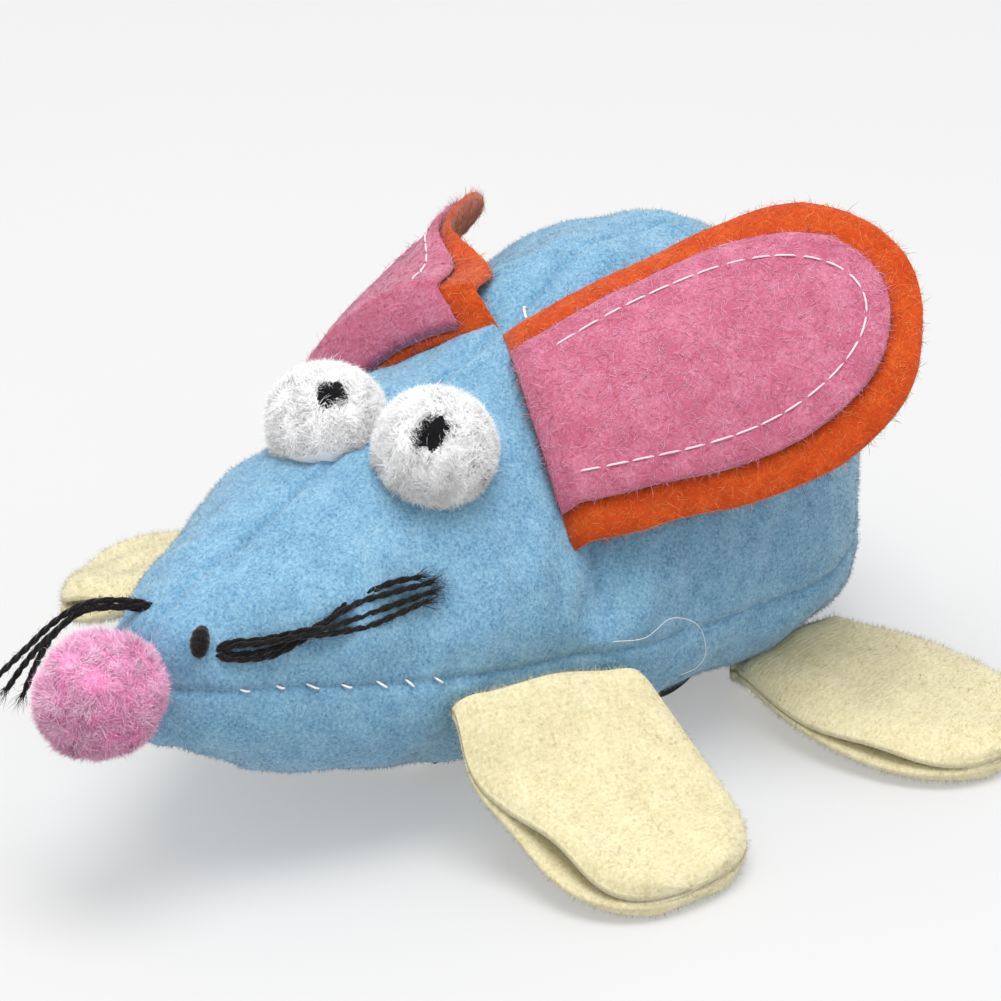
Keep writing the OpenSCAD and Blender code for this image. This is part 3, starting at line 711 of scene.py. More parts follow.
# ---------------------------------------------------------------- body
@dataclass(frozen=True)
class BodyShape:
    """Outline of the body: its half width, crown, side seam and belly height at stations along X.

    Attributes:
        stations: Positions along X.
        half_width: Half width at each station.
        crown: Height of the crown.
        side: Height of the side seam.
        belly: Height of the belly.
        upper_power: Power of the sine and cosine above the side seam.
        lower_power: The same below it.
        back_round: Length over which the rump is rounded off.
        front_round: The same at the snout.
    """

    stations: tuple[float, ...] = (-54.3, -46, -38, -28, -18, -9, 0, 14, 28, 38, 43)
    half_width: tuple[float, ...] = (9.0, 17, 22.5, 25.5, 25, 23.5, 22, 18.5, 14, 8.8, 5.5)
    crown: tuple[float, ...] = (28, 38, 43.5, 45.8, 44.8, 42, 39, 36, 32, 28.2, 26.2)
    side: tuple[float, ...] = (15.5, 14, 13.5, 13.5, 14, 14.5, 15.5, 17, 18.5, 20, 20.5)
    belly: tuple[float, ...] = (10.5, 5.5, 3.5, 3, 3, 3, 3.2, 4.5, 8, 13, 15.5)
    upper_power: float = 2 / 1.9
    lower_power: float = 2 / 2.5
    back_round: float = 7.0
    front_round: float = 3.0

    def ends(self, x: Array) -> Array:
        """Factor that rounds the body off at both ends: a quarter ellipse in X."""
        back = (self.stations[0] + self.back_round - x) / self.back_round
        front = (x - self.stations[-1] + self.front_round) / self.front_round
        return np.sqrt(np.clip(1.0 - np.maximum(0.0, np.maximum(back, front)) ** 2, 0.0, 1.0))

    def section(self, x: Array) -> tuple[Array, Array, Array, Array]:
        """Half width, side seam height, rise above it and fall below it at each x."""
        k = self.ends(x)
        mid = through(self.stations, self.side, x)
        rise = (through(self.stations, self.crown, x) - mid) * k
        fall = (mid - through(self.stations, self.belly, x)) * k
        return through(self.stations, self.half_width, x) * k, mid, rise, fall

    def skin(self, x: Array, angle: Array, lift: float = 0.0) -> Array:
        """Points of the plain skin: half of a superellipse above the side seam and half below.

        Args:
            x: Stations in millimetres.
            angle: Angles round the body in degrees.
            lift: Height above the skin.

        Returns:
            Points.
        """
        x, angle = np.broadcast_arrays(np.asarray(x, float), np.radians(angle))
        width, mid, rise, fall = self.section(x)
        c, s = np.cos(angle), np.sin(angle)
        power = np.where(s >= 0, self.upper_power, self.lower_power)
        tall = np.where(s >= 0, rise, fall)
        y = (width + lift) * signed_power(c, power)
        return np.stack([x, y, mid + (tall + lift) * signed_power(s, power)], -1)

    def outward(self, x: Array, angle: Array) -> Array:
        """Outward directions of the skin, from its slopes along X and round the body."""
        x, angle = np.broadcast_arrays(np.asarray(x, float), np.asarray(angle, float))
        step, swing, margin = 0.05, 0.5, 0.2
        at = np.clip(x, self.stations[0] + margin, self.stations[-1] - margin)
        run = self.skin(at + step, angle) - self.skin(at - step, angle)
        turn = self.skin(at, angle + swing) - self.skin(at, angle - swing)
        return unit(np.cross(turn, run))

    def holds(self, points: Array, margin: float = 0.0) -> Array:
        """Whether each point lies inside the skin drawn in by margin."""
        x = np.clip(points[..., 0], self.stations[0], self.stations[-1])
        width, mid, rise, fall = self.section(x)
        up = points[..., 2] >= mid
        power = 2.0 / np.where(up, self.upper_power, self.lower_power)
        least = 0.05
        tall = np.maximum(np.where(up, rise, fall) - margin, least)
        across = np.abs(points[..., 1]) / np.maximum(width - margin, least)
        high = np.abs(points[..., 2] - mid) / tall
        return (across**power + high**power < 1.0) & (x == points[..., 0])


@dataclass
class FleeceBody:
    """The sewn body: four upper panels and one belly panel that meet in pinched seams, with nap.

    Attributes:
        shape: Outline of the body.
        thickness: Thickness of the fleece.
        filling_inset: How far the stuffing lies below the plain skin.
        filling_rows: Rings of the stuffing, less one.
        filling_cols: Points of each ring.
        rows: Steps of a panel along the body.
        cols: Steps of a panel round the body.
        seam_depth: Depth of the pinched seam line.
        seam_width: Its width.
        pillow_depth: Depth to which the fabric falls towards a seam.
        pillow_width: Width of that fall.
        crease_depth: Depth of the crease behind each ear.
        crease_width: Its width.
        pucker_height: Height of the puckers along a seam.
        pucker_pitch: Distance between puckers.
        lump_height: Height of the broad lumps of stuffing.
        lump_length: Length of those lumps.
        nap_hairs: Raised fibres on each side.
        nap_length: Shortest and longest fibre.
        nap_width: Thinnest and thickest fibre.
        nap_seed: Seed of the fibres.
        plate_x: Back and front of the base plate's wide part.
        plate_half: Half width of that part.
        plate_corner: Radius of its corners.
        plate_nose: Front end and half width of the plate's narrow part.
        plate_gap: Gap between the plate and the fabric.
        case_pocket: Back, half width, front and top of the pocket for the motor's case.
        axle_pocket: The same for the drive axle and wheels.
        winding_at: X and Z of the winding arbor.
        winding_pocket: Radius of the pocket round it.
    """

    shape: BodyShape
    thickness: float = 1.1
    filling_inset: float = 3.4
    filling_rows: int = 40
    filling_cols: int = 48
    rows: int = 92
    cols: int = 56
    seam_depth: float = 0.5
    seam_width: float = 0.6
    pillow_depth: float = 0.4
    pillow_width: float = 3.6
    crease_depth: float = 1.0
    crease_width: float = 3.4
    pucker_height: float = 0.13
    pucker_pitch: float = 3.1
    lump_height: float = 0.34
    lump_length: float = 15.0
    nap_hairs: int = 49500
    nap_length: Pair = (0.25, 0.6)
    nap_width: Pair = (0.035, 0.06)
    nap_seed: int = 21
    plate_x: Pair = (-35.0, -1.0)
    plate_half: float = 15.0
    plate_corner: float = 4.0
    plate_nose: Pair = (11.4, 8.4)
    plate_gap: float = 0.3
    case_pocket: Quad = (-33.3, 3.3, 13.4, 32.4)
    axle_pocket: Quad = (-28.9, -10.9, 15.5, 17.4)
    winding_at: Pair = (-10.0, 16.6)
    winding_pocket: float = 4.0

    def seam_angle(self, x: Array) -> Array:
        """Angle of the side seam, which climbs a little towards the nose."""
        return np.interp(x, (10, 23, 31, 39, 43), (0, 3.0, 7.0, 10.6, 13.0))

    def cross_seam(self, angle: Array) -> Array:
        """X of the seam between head and back: furthest back at the crown, further forward at the sides."""
        a = np.radians(angle)
        return -9.0 + 9.8 * np.abs(np.cos(a)) - 1.8 * np.maximum(0.0, -np.sin(a))

    def depth(self, x: Array, angle: Array, points: Array) -> Array:
        """How far the fabric sinks below the plain skin: seam valleys, a crease behind each ear and lumps."""
        s = np.sin(np.radians(angle))
        seam = self.seam_angle(x)
        top = np.where(s > 0, np.abs(points[..., 1]), 40.0)
        folded = np.where(angle > 90, 180 - angle, angle)
        level = self.shape.skin(x, np.where(s >= 0, seam, -seam))[..., 2]
        side = np.abs(points[..., 2] - np.where(s >= 0, level, self.shape.skin(x, seam)[..., 2]))
        upper = ramp(folded - seam, 0.0, 14.0)
        cross = np.abs(x - self.cross_seam(angle))
        pleat = 1.0 + 0.35 * np.sin(2 * math.pi * x / self.pucker_pitch)
        dip = self.seam_depth * (0.8 * bell(top, self.seam_width) + bell(side, self.seam_width))
        dip = dip + self.pillow_depth * (0.7 * bell(top, self.pillow_width) + 0.7 * bell(side, self.pillow_width))
        flank = ramp(np.abs(points[..., 1]), 6.0, 17.0)
        cut = self.seam_depth * bell(cross, self.seam_width) + self.pillow_depth * bell(cross, self.pillow_width)
        cut = cut + self.crease_depth * flank * bell(cross, self.crease_width)
        dip = np.maximum(dip, upper * cut)
        near = np.minimum(top, side)
        dip = dip + self.pucker_height * pleat * bell(near - 1.0, 1.4)
        dip = dip + 0.17 * np.where(s > 0, bell(top, 2.4) - 1.1 * bell(top - 0.9, 0.5), 0.0)
        dip = dip - self.lump_height * lumps(points, self.lump_length, 11) - 0.1 * lumps(points, 5.0, 12)
        return dip * ramp(self.shape.ends(x), 0.15, 0.75)

    def cloth(self, x: Array, angle: Array, thickness: float = 0.0) -> Array:
        """Points of the fabric, or of its inner face where a thickness is given."""
        plain = self.shape.skin(x, angle)
        return plain - self.shape.outward(x, angle) * (self.depth(x, angle, plain) + thickness)[..., None]

    def panel(self, left: bool, back: bool) -> tuple[Array, Array]:
        """Stations and angles of one upper panel's grid, crowded towards its seams."""
        t = eased(self.cols)[None, :]
        run = eased(self.rows)[:, None]
        low, high = self.shape.stations[0], self.shape.stations[-1]
        guess = 90.0 - 90.0 * t
        for _ in range(3):
            seam_x = self.cross_seam(guess)
            x = (low + (seam_x - low) * run) if back else (seam_x + (high - seam_x) * run)
            angle = self.seam_angle(x) + (90.0 - self.seam_angle(x)) * (1.0 - t)
            guess = angle
        return x, angle if left else 180.0 - angle

    def outline(self, grow: float) -> Array:
        """Outline of the opening for the base plate: a round-cornered oblong with a narrow front part."""
        r, lo, hi = self.plate_corner, self.plate_x[0], self.plate_x[1]
        half, (nose, slim) = self.plate_half, self.plate_nose
        t = np.radians(np.linspace(0, 90, 9))
        corner = np.stack([np.cos(t), np.sin(t)], -1) * (r + grow)
        front = corner + (hi - r, half - r)
        back = corner[::-1] * (-1, 1) + (lo + r, half - r)
        tip = np.array([[nose + grow, slim + grow], [hi + grow, slim + grow]])
        top = np.concatenate([tip, front, back])
        return np.concatenate([top, top[::-1] * (1, -1)])

    def build(self) -> list[bpy.types.Object]:
        """Makes the five panels, the nap over them and the stuffing.

        Returns:
            The pieces.
        """
        pieces: list[bpy.types.Object] = []
        skins: list[tuple[Array, Array]] = []
        for side, left in (("left", True), ("right", False)):
            for part, back in (("head", False), ("back", True)):
                x, angle = self.panel(left, back)
                outer = self.cloth(x, angle)
                draft = Draft().add(shell(outer, self.cloth(x, angle, self.thickness)))
                piece = draft.piece(f"fleece_{part}_{side}", [FLEECE], weld=True)
                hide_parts(f"{part}_panel_{side}")
                pieces.append(piece)
                skins.append((outer.reshape(-1, 3), self.facing(outer)))
        pieces.append(self.belly(skins))
        pieces += self.nap(skins)
        for piece in pieces:
            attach(piece, "root")
        return pieces + [self.filling()]

    def facing(self, grid: Array) -> Array:
        """Quads of a grid, turned so that they face away from the body's middle line."""
        faces = grid_faces(*grid.shape[:2])
        points = grid.reshape(-1, 3)
        corner = [points[faces[:, k]] for k in range(3)]
        normal = np.cross(corner[1] - corner[0], corner[2] - corner[1])
        core_height = 18.0
        middle = np.stack([corner[0][:, 0], np.zeros(len(faces)), np.full(len(faces), core_height)], -1)
        return faces if (normal * (corner[0] - middle)).sum() > 0 else faces[:, ::-1]

    def belly(self, skins: list[tuple[Array, Array]]) -> bpy.types.Object:
        """Makes the belly panel, with its opening cut by a prism of the base plate's outline.

        Args:
            skins: Outer skins gathered for the nap; the belly's is added.

        Returns:
            The piece.
        """
        low, high = self.shape.stations[0], self.shape.stations[-1]
        x = (low + (high - low) * eased(self.rows * 3 // 2))[:, None]
        t = np.linspace(0.0, 1.0, 2 * self.cols + 1)[None, :]
        seam = self.seam_angle(x)
        angle = seam - (180.0 + 2.0 * seam) * t
        outer = self.cloth(x, angle)
        draft = Draft().add(shell(outer, self.cloth(x, angle, self.thickness)))
        piece = draft.piece("fleece_belly", [FLEECE], weld=True)
        skins.append((outer.reshape(-1, 3), self.facing(outer)))
        self.carve(piece, self.outline(self.plate_gap), -2.0, 9.0)
        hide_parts("belly_panel")
        return piece

    @staticmethod
    def carve(piece: bpy.types.Object, ring: Array, low: float, high: float, level: bool = False) -> None:
        """Cuts a prism out of a piece.

        Args:
            piece: Piece to cut.
            ring: Outline of the prism, in plan or, where level is set, in the XZ plane.
            low: Where the prism starts, in Z or in Y.
            high: Where the prism ends.
            level: Whether the prism lies along Y.
        """
        flat = [np.column_stack([ring, np.full(len(ring), at)]) for at in (low, high)]
        prism = np.concatenate(flat)
        prism = prism[:, [0, 2, 1]] if level else prism
        n = len(ring)
        j = np.arange(n)
        k = (j + 1) % n
        walls = np.stack([j, k, k + n, j + n], -1)
        cutter = Draft().add((prism, [walls, np.stack([j[::-1], j + n])])).piece("cutter", [FLEECE])
        cut = piece.modifiers.new("cut", "BOOLEAN")
        cut.object, cut.operation, cut.solver = cutter, "DIFFERENCE", "EXACT"
        bpy.context.view_layer.update()
        carved = bpy.data.meshes.new_from_object(piece.evaluated_get(bpy.context.evaluated_depsgraph_get()))
        piece.modifiers.clear()
        piece.data = carved
        bpy.data.objects.remove(cutter)

    def filling(self) -> bpy.types.Object:
        """Makes the stuffing, drawn in below the deepest seams, with pockets for the motor and its parts.

        Returns:
            The piece.
        """
        rows, cols = self.filling_rows, self.filling_cols
        low, high = self.shape.stations[0] + self.filling_inset, self.shape.stations[-1] - self.filling_inset
        x = (low + (high - low) * eased(rows))[:, None]
        angle = np.linspace(0.0, 360.0, cols, endpoint=False)[None, :]
        rings = self.shape.skin(x, angle, -self.filling_inset)
        rings = rings + 0.25 * lumps(rings, 9.0, 13)[..., None] * self.shape.outward(x, angle)
        walls = grid_faces(rows + 1, cols, closed=True)
        first = np.arange(cols)
        caps = np.stack([first[::-1], first + rows * cols])
        draft = Draft().add((rings.reshape(-1, 3), [walls, caps]))
        piece = draft.piece("stuffing_fibre", [PART_FINISHES["stuffing"]])
        for x0, x1, half, top in (self.case_pocket, self.axle_pocket):
            self.carve(piece, np.array([[x0, -half], [x1, -half], [x1, half], [x0, half]]), -1.0, top)
        self.carve(piece, self.outline(self.plate_gap + 0.5), -1.0, 8.0)
        t = np.radians(np.arange(0, 360, 12))
        bore = np.array(self.winding_at) + self.winding_pocket * np.stack([np.cos(t), np.sin(t)], -1)
        self.carve(piece, bore, -40.0, 0.0, level=True)
        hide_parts("stuffing")
        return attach(piece, "root")

    def nap(self, skins: list[tuple[Array, Array]]) -> list[bpy.types.Object]:
        """Short raised fibres all over the body, in three shades that gather in small flecks.

        Args:
            skins: Outer skins of the panels.

        Returns:
            One piece for each side.
        """
        rng = np.random.default_rng(self.nap_seed)
        offsets = np.cumsum([0] + [len(p) for p, _ in skins[:-1]])
        points = np.concatenate([p for p, _ in skins])
        faces = np.concatenate([f + o for (_, f), o in zip(skins, offsets)])
        places, away = scatter(points, [faces], int(self.nap_hairs * 2.3), rng)
        open_plate = self.in_outline(places[:, :2], 0.9) & (places[:, 2] < 7.0)
        places, away = places[~open_plate], away[~open_plate]
        lean = rng.normal(size=places.shape)
        lean = unit(lean - (lean * away).sum(-1, keepdims=True) * away)
        height = rng.uniform(*self.nap_length, len(places))[:, None]
        tilt = rng.uniform(0.25, 1.35, len(places))[:, None]
        tips = places + height * (away * np.cos(tilt) + lean * np.sin(tilt))
        paths = np.stack([places - 0.05 * away, tips], 1)
        width = rng.uniform(*self.nap_width, len(places))
        fleck = 0.55 * lumps(places, 1.6, 31) + 0.5 * rng.normal(size=len(places))
        shade = np.digitize(fleck, (-0.75, 0.55))
        made = []
        for side, mine in (("left", places[:, 1] >= 0), ("right", places[:, 1] < 0)):
            pick = np.flatnonzero(mine)[: self.nap_hairs]
            draft = Draft().hairs(paths[pick], width[pick], shade[pick], away[pick], rng)
            made.append(draft.piece(f"fleece_nap_{side}", FLEECE_NAP))
        return made

    def in_outline(self, places: Array, grow: float) -> Array:
        """Whether plan positions lie within the base plate's outline grown by a margin."""
        x, y = places[:, 0], np.abs(places[:, 1])
        wide = (x > self.plate_x[0] - grow) & (x < self.plate_x[1] + grow) & (y < self.plate_half + grow)
        slim = (x > -20.0) & (x < self.plate_nose[0] + grow) & (y < self.plate_nose[1] + grow)
        return wide | slim


@dataclass
class SeamThread:
    """Hand stitches across the side seams, a loose end at the crown and one curled stray fibre.

    Attributes:
        body: The body that is sewn.
        pitch: Distance between stitches.
        thread: Thickness of the thread.
        span: First and last place along X where the stitches show.
        seed: Seed of their unevenness.
        loose_end: Points of the loose end.
        stray_route: Points of the stray fibre as station, angle and height over the skin.
    """

    body: FleeceBody
    pitch: float = 3.0
    thread: float = 0.22
    span: Pair = (19.5, 40.5)
    seed: int = 41
    loose_end: Route = ((-10.4, 1.3, 42.4), (-9.2, 2.0, 43.0), (-8.4, 2.9, 42.6), (-7.7, 3.6, 42.9))
    stray_route: Route = (
        (1.0, 4.0, 0.5), (-2.5, 3.5, 1.0), (-5.4, 7.0, 1.6), (-8.4, 4.0, 2.0),
        (-9.8, -4.0, 1.7), (-9.4, -11.0, 1.3), (-7.8, -14.0, 1.0),
    )

    def build(self) -> list[bpy.types.Object]:
        """Makes the stitches as short slanting arcs over the seam.

        Returns:
            The pieces.
        """
        x = np.arange(*self.span, self.pitch)
        draft = Draft()
        rng = np.random.default_rng(self.seed)
        t = np.linspace(-1.0, 1.0, 9)
        for side in (1.0, -1.0):
            at = x + rng.uniform(-0.25, 0.25, len(x))
            slant = rng.uniform(0.3, 0.6, len(x))[:, None] * t
            degree = self.body.seam_angle(at)[:, None] + t * rng.uniform(1.1, 1.9, len(x))[:, None]
            angle = degree if side > 0 else 180.0 - degree
            stations = at[:, None] + slant
            up = self.body.shape.outward(stations, angle)
            arch = (0.55 * (1.0 - t**2) - 0.05)[None, :, None]
            points = self.body.cloth(stations, angle) + up * arch
            radius = self.thread / 2.0 * np.sqrt(np.clip(1.0 - 0.8 * t**8, 0.0, 1.0))
            draft.add(sweep(points, radius, up, 6))
        loose = along(self.loose_end, 16)[None]
        draft.add(sweep(loose, np.full(16, 0.13), np.array([0.0, 0.0, 1.0]), 6))
        piece = draft.piece("seam_stitches", [THREAD])
        return [self.finish(piece), self.finish(self.stray())]

    def stray(self) -> bpy.types.Object:
        """One long curled fibre that stands off the left flank below the ear."""
        q, steps = np.array(self.stray_route), 60
        skin, up = self.body.shape.skin(q[:, 0], q[:, 1]), self.body.shape.outward(q[:, 0], q[:, 1])
        path = along(skin + up * q[:, 2:3], steps)[None]
        strand = sweep(path, np.linspace(0.035, 0.02, steps), np.array([0.3, 0.9, 0.3]), 5)
        return Draft().add(strand).piece("stray_fibre", [THREAD])

    @staticmethod
    def finish(piece: bpy.types.Object) -> bpy.types.Object:
        """Ties the thread to the body."""
        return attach(piece, "root")


# ---------------------------------------------------------------- face
@dataclass
class Pompom:
    """A ball of fine radial fibres round a soft core, trimmed where it presses on the body.

    Attributes:
        name: Name of the CAD part it stands for.
        centre: Middle of the ball.
        radius: Radius over the fibre tips.
        core: Finish of the core.
        fibres: Finishes of the fibres from shaded to light, with the ink last where there is a pupil.
        body: Outline that the ball presses on.
        slot: Material slot of the record; not used.
        seed: Seed of the random fibres.
        hairs: Number of fibres.
        pupil: Direction of the ink spot's middle, or None.
        spot: Half length and half width of the ink spot.
        spot_way: Direction of the spot's length.
        fibre_width: Thinnest and thickest fibre.
        core_share: Radius of the core as a share of the ball's.
        core_rows: Rings of the core.
        core_cols: Points of each ring.
        facets: Depth of the ball's broad flats as a share of its radius.
        softness: How far the shading of the fibres turns towards the sky, as light does inside fluff.
    """

    name: str
    centre: Triple
    radius: float
    core: Finish
    fibres: tuple[Fibre, ...]
    body: BodyShape
    slot: str
    seed: int
    hairs: int = 24000
    pupil: Optional[Triple] = None
    spot: Pair = (2.1, 1.45)
    spot_way: Triple = (-0.69, 0.34, 0.64)
    fibre_width: Pair = (0.045, 0.08)
    core_share: float = 0.88
    core_rows: int = 91
    core_cols: int = 144
    facets: float = 0.0
    softness: float = 0.9

    def build(self) -> list[bpy.types.Object]:
        """Makes the core and its fibres.

        Returns:
            The pieces.
        """
        rng = np.random.default_rng(self.seed)
        centre = np.array(self.centre)
        tall = np.linspace(0.0, math.pi, self.core_rows)[:, None]
        turn = np.linspace(0.0, 2.0 * math.pi, self.core_cols, endpoint=False)[None, :]
        ball = np.stack([np.sin(tall) * np.cos(turn), np.sin(tall) * np.sin(turn), np.cos(tall) + 0.0 * turn], -1)
        size = self.radius * (self.core_share + 0.01 * lumps(ball * self.radius, 4.0, self.seed) + self.uneven(ball))
        core = (centre + ball * size[..., None]).reshape(-1, 3)
        faces = grid_faces(self.core_rows, self.core_cols, closed=True)
        dark = np.zeros(len(faces), int)
        coats = [self.core]
        if self.pupil is not None:
            dark = (self.spread(core[faces].mean(1) - centre) < 0.85).astype(int)
            coats.append(self.fibres[-1])
        core_piece = Draft().add((core, [faces]), [dark]).piece(self.name + "_core", coats, weld=True)
        way = unit(rng.normal(size=(self.hairs, 3)))
        tuft = lumps(way * self.radius, 2.2, self.seed + 1)
        reach = self.radius * (0.99 + 0.012 * tuft + 0.022 * rng.normal(size=self.hairs) + self.uneven(way))
        stray = rng.random(self.hairs) < 0.02
        reach = np.where(stray, reach + rng.uniform(0.1, 0.8, self.hairs), reach)[:, None]
        swirl = np.stack([lumps(way * self.radius, 3.0, self.seed + k) for k in (2, 3, 4)], -1)
        aim = unit(way + 0.1 * swirl + 0.11 * rng.normal(size=way.shape))
        root = centre + way * self.radius * (self.core_share - 0.04 + self.uneven(way))[:, None]
        tip = centre + aim * reach
        middle = (root + tip) / 2.0 + rng.normal(scale=0.12, size=way.shape)
        keep = ~self.body.holds(tip, -0.1)
        paths = np.stack([root, middle, tip], 1)[keep]
        shade = np.digitize(0.6 * tuft + 0.7 * rng.normal(size=self.hairs), self.shades())[keep]
        if self.pupil is not None:
            shade = np.where(self.inked(tip - centre, rng)[keep], len(self.fibres) - 1, shade)
        width = rng.uniform(*self.fibre_width, self.hairs)[keep]
        lit = way[keep] + 0.25 * rng.normal(size=way[keep].shape) + np.array([0.0, 0.0, self.softness])
        draft = Draft().hairs(paths, width, shade, unit(lit), rng)
        fluff = draft.piece(self.name + "_fluff", self.fibres)
        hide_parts(self.name)
        for piece in (core_piece, fluff):
            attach(piece, "root")
        return [core_piece, fluff]

    def shades(self) -> tuple[float, ...]:
        """Limits between the fibre shades."""
        return (-0.2,) if self.pupil is not None else (-0.55, 0.65)

    def uneven(self, way: Array) -> Array:
        """Broad flats and bulges of the ball, as a share of its radius."""
        return self.facets * lumps(way * self.radius, 9.0, self.seed + 7)

    def inked(self, tip: Array, rng: np.random.Generator) -> Array:
        """Whether each fibre is inked: dense in an oval round the pupil's middle, sparse at its edge."""
        return rng.random(len(tip)) < 1.0 - ramp(self.spread(tip), 0.85, 1.25)

    def spread(self, places: Array) -> Array:
        """Distance from the pupil's middle, 1 at the edge of its oval; large on the far side."""
        look = unit(np.array(self.pupil))
        along_way = np.array(self.spot_way)
        along_way = unit(along_way - (along_way @ look) * look)
        across_way = np.cross(look, along_way)
        span = np.hypot(places @ along_way / self.spot[0], places @ across_way / self.spot[1])
        return np.where(places @ look > 0, span + 0.1 * lumps(places, 1.5, self.seed + 9), 9.0)


@dataclass
class Yarn:
    """Two-ply yarn along a path, with frayed ends and fine fuzz.

    Attributes:
        diameter: Thickness over both plies.
        pitch: Length of one turn of the plies.
        points: Points along a strand.
        sides: Corners of a ply's section.
    """

    diameter: float = 0.66
    pitch: float = 3.0
    points: int = 90
    sides: int = 7

    def plies(self, path: Array, up: Array) -> Shape:
        """Two round plies that wind about the path as a double helix.

        Args:
            path: Points along the middle.
            up: Direction away from the surface at each point.

        Returns:
            Points and faces.
        """
        tangent = unit(np.gradient(path, axis=0))
        side = unit(np.cross(tangent, up))
        over = np.cross(side, tangent)
        length = np.concatenate([[0.0], np.cumsum(np.linalg.norm(np.diff(path, axis=0), axis=1))])
        turn = 2.0 * math.pi * length / self.pitch
        both = np.stack([turn, turn + math.pi])[..., None]
        wound = path + self.diameter * 0.17 * (side * np.cos(both) + over * np.sin(both))
        t = np.linspace(0.0, 1.0, len(path))
        radius = self.diameter * 0.34 * (1.0 - 0.45 * ramp(np.abs(t - 0.5), 0.44, 0.5))
        return sweep(wound, radius, up, self.sides)

    def fuzz(self, path: Array, up: Array, hairs: int, rng: np.random.Generator) -> Array:
        """Fine hairs that stand off the yarn.

        Args:
            path: Points along the middle.
            up: Direction away from the surface.
            hairs: Number of hairs.
            rng: Source of their places.

        Returns:
            Paths of the hairs.
        """
        pick = rng.integers(2, len(path) - 2, hairs)
        tangent = unit(path[pick + 1] - path[pick - 1])
        away = unit(rng.normal(size=(hairs, 3)) + 0.5 * up[pick])
        root = path[pick] + away * self.diameter * 0.3
        tip = root + away * rng.uniform(0.2, 0.7, (hairs, 1)) + tangent * rng.normal(scale=0.5, size=(hairs, 1))
        middle = (root + tip) / 2.0 + rng.normal(scale=0.1, size=root.shape)
        return np.stack([root, middle, tip], 1)

    def fray(self, path: Array, hairs: int, length: float, rng: np.random.Generator) -> Array:
        """Loose fibres that spread from the end of the yarn.

        Args:
            path: Points along the middle, with the frayed end last.
            hairs: Number of fibres.
            length: Longest fibre.
            rng: Source of their directions.

        Returns:
            Paths of the fibres.
        """
        way = unit(path[-1] - path[-4])
        aim = unit(way + rng.normal(scale=0.28, size=(hairs, 3)))
        root = path[-3] + rng.normal(scale=self.diameter * 0.16, size=(hairs, 3))
        reach = length * rng.uniform(0.35, 1.0, (hairs, 1))
        middle = root + aim * reach * 0.5
        tip = middle + unit(aim + rng.normal(scale=0.35, size=(hairs, 3))) * reach * 0.5
        return np.stack([root, middle, tip], 1)


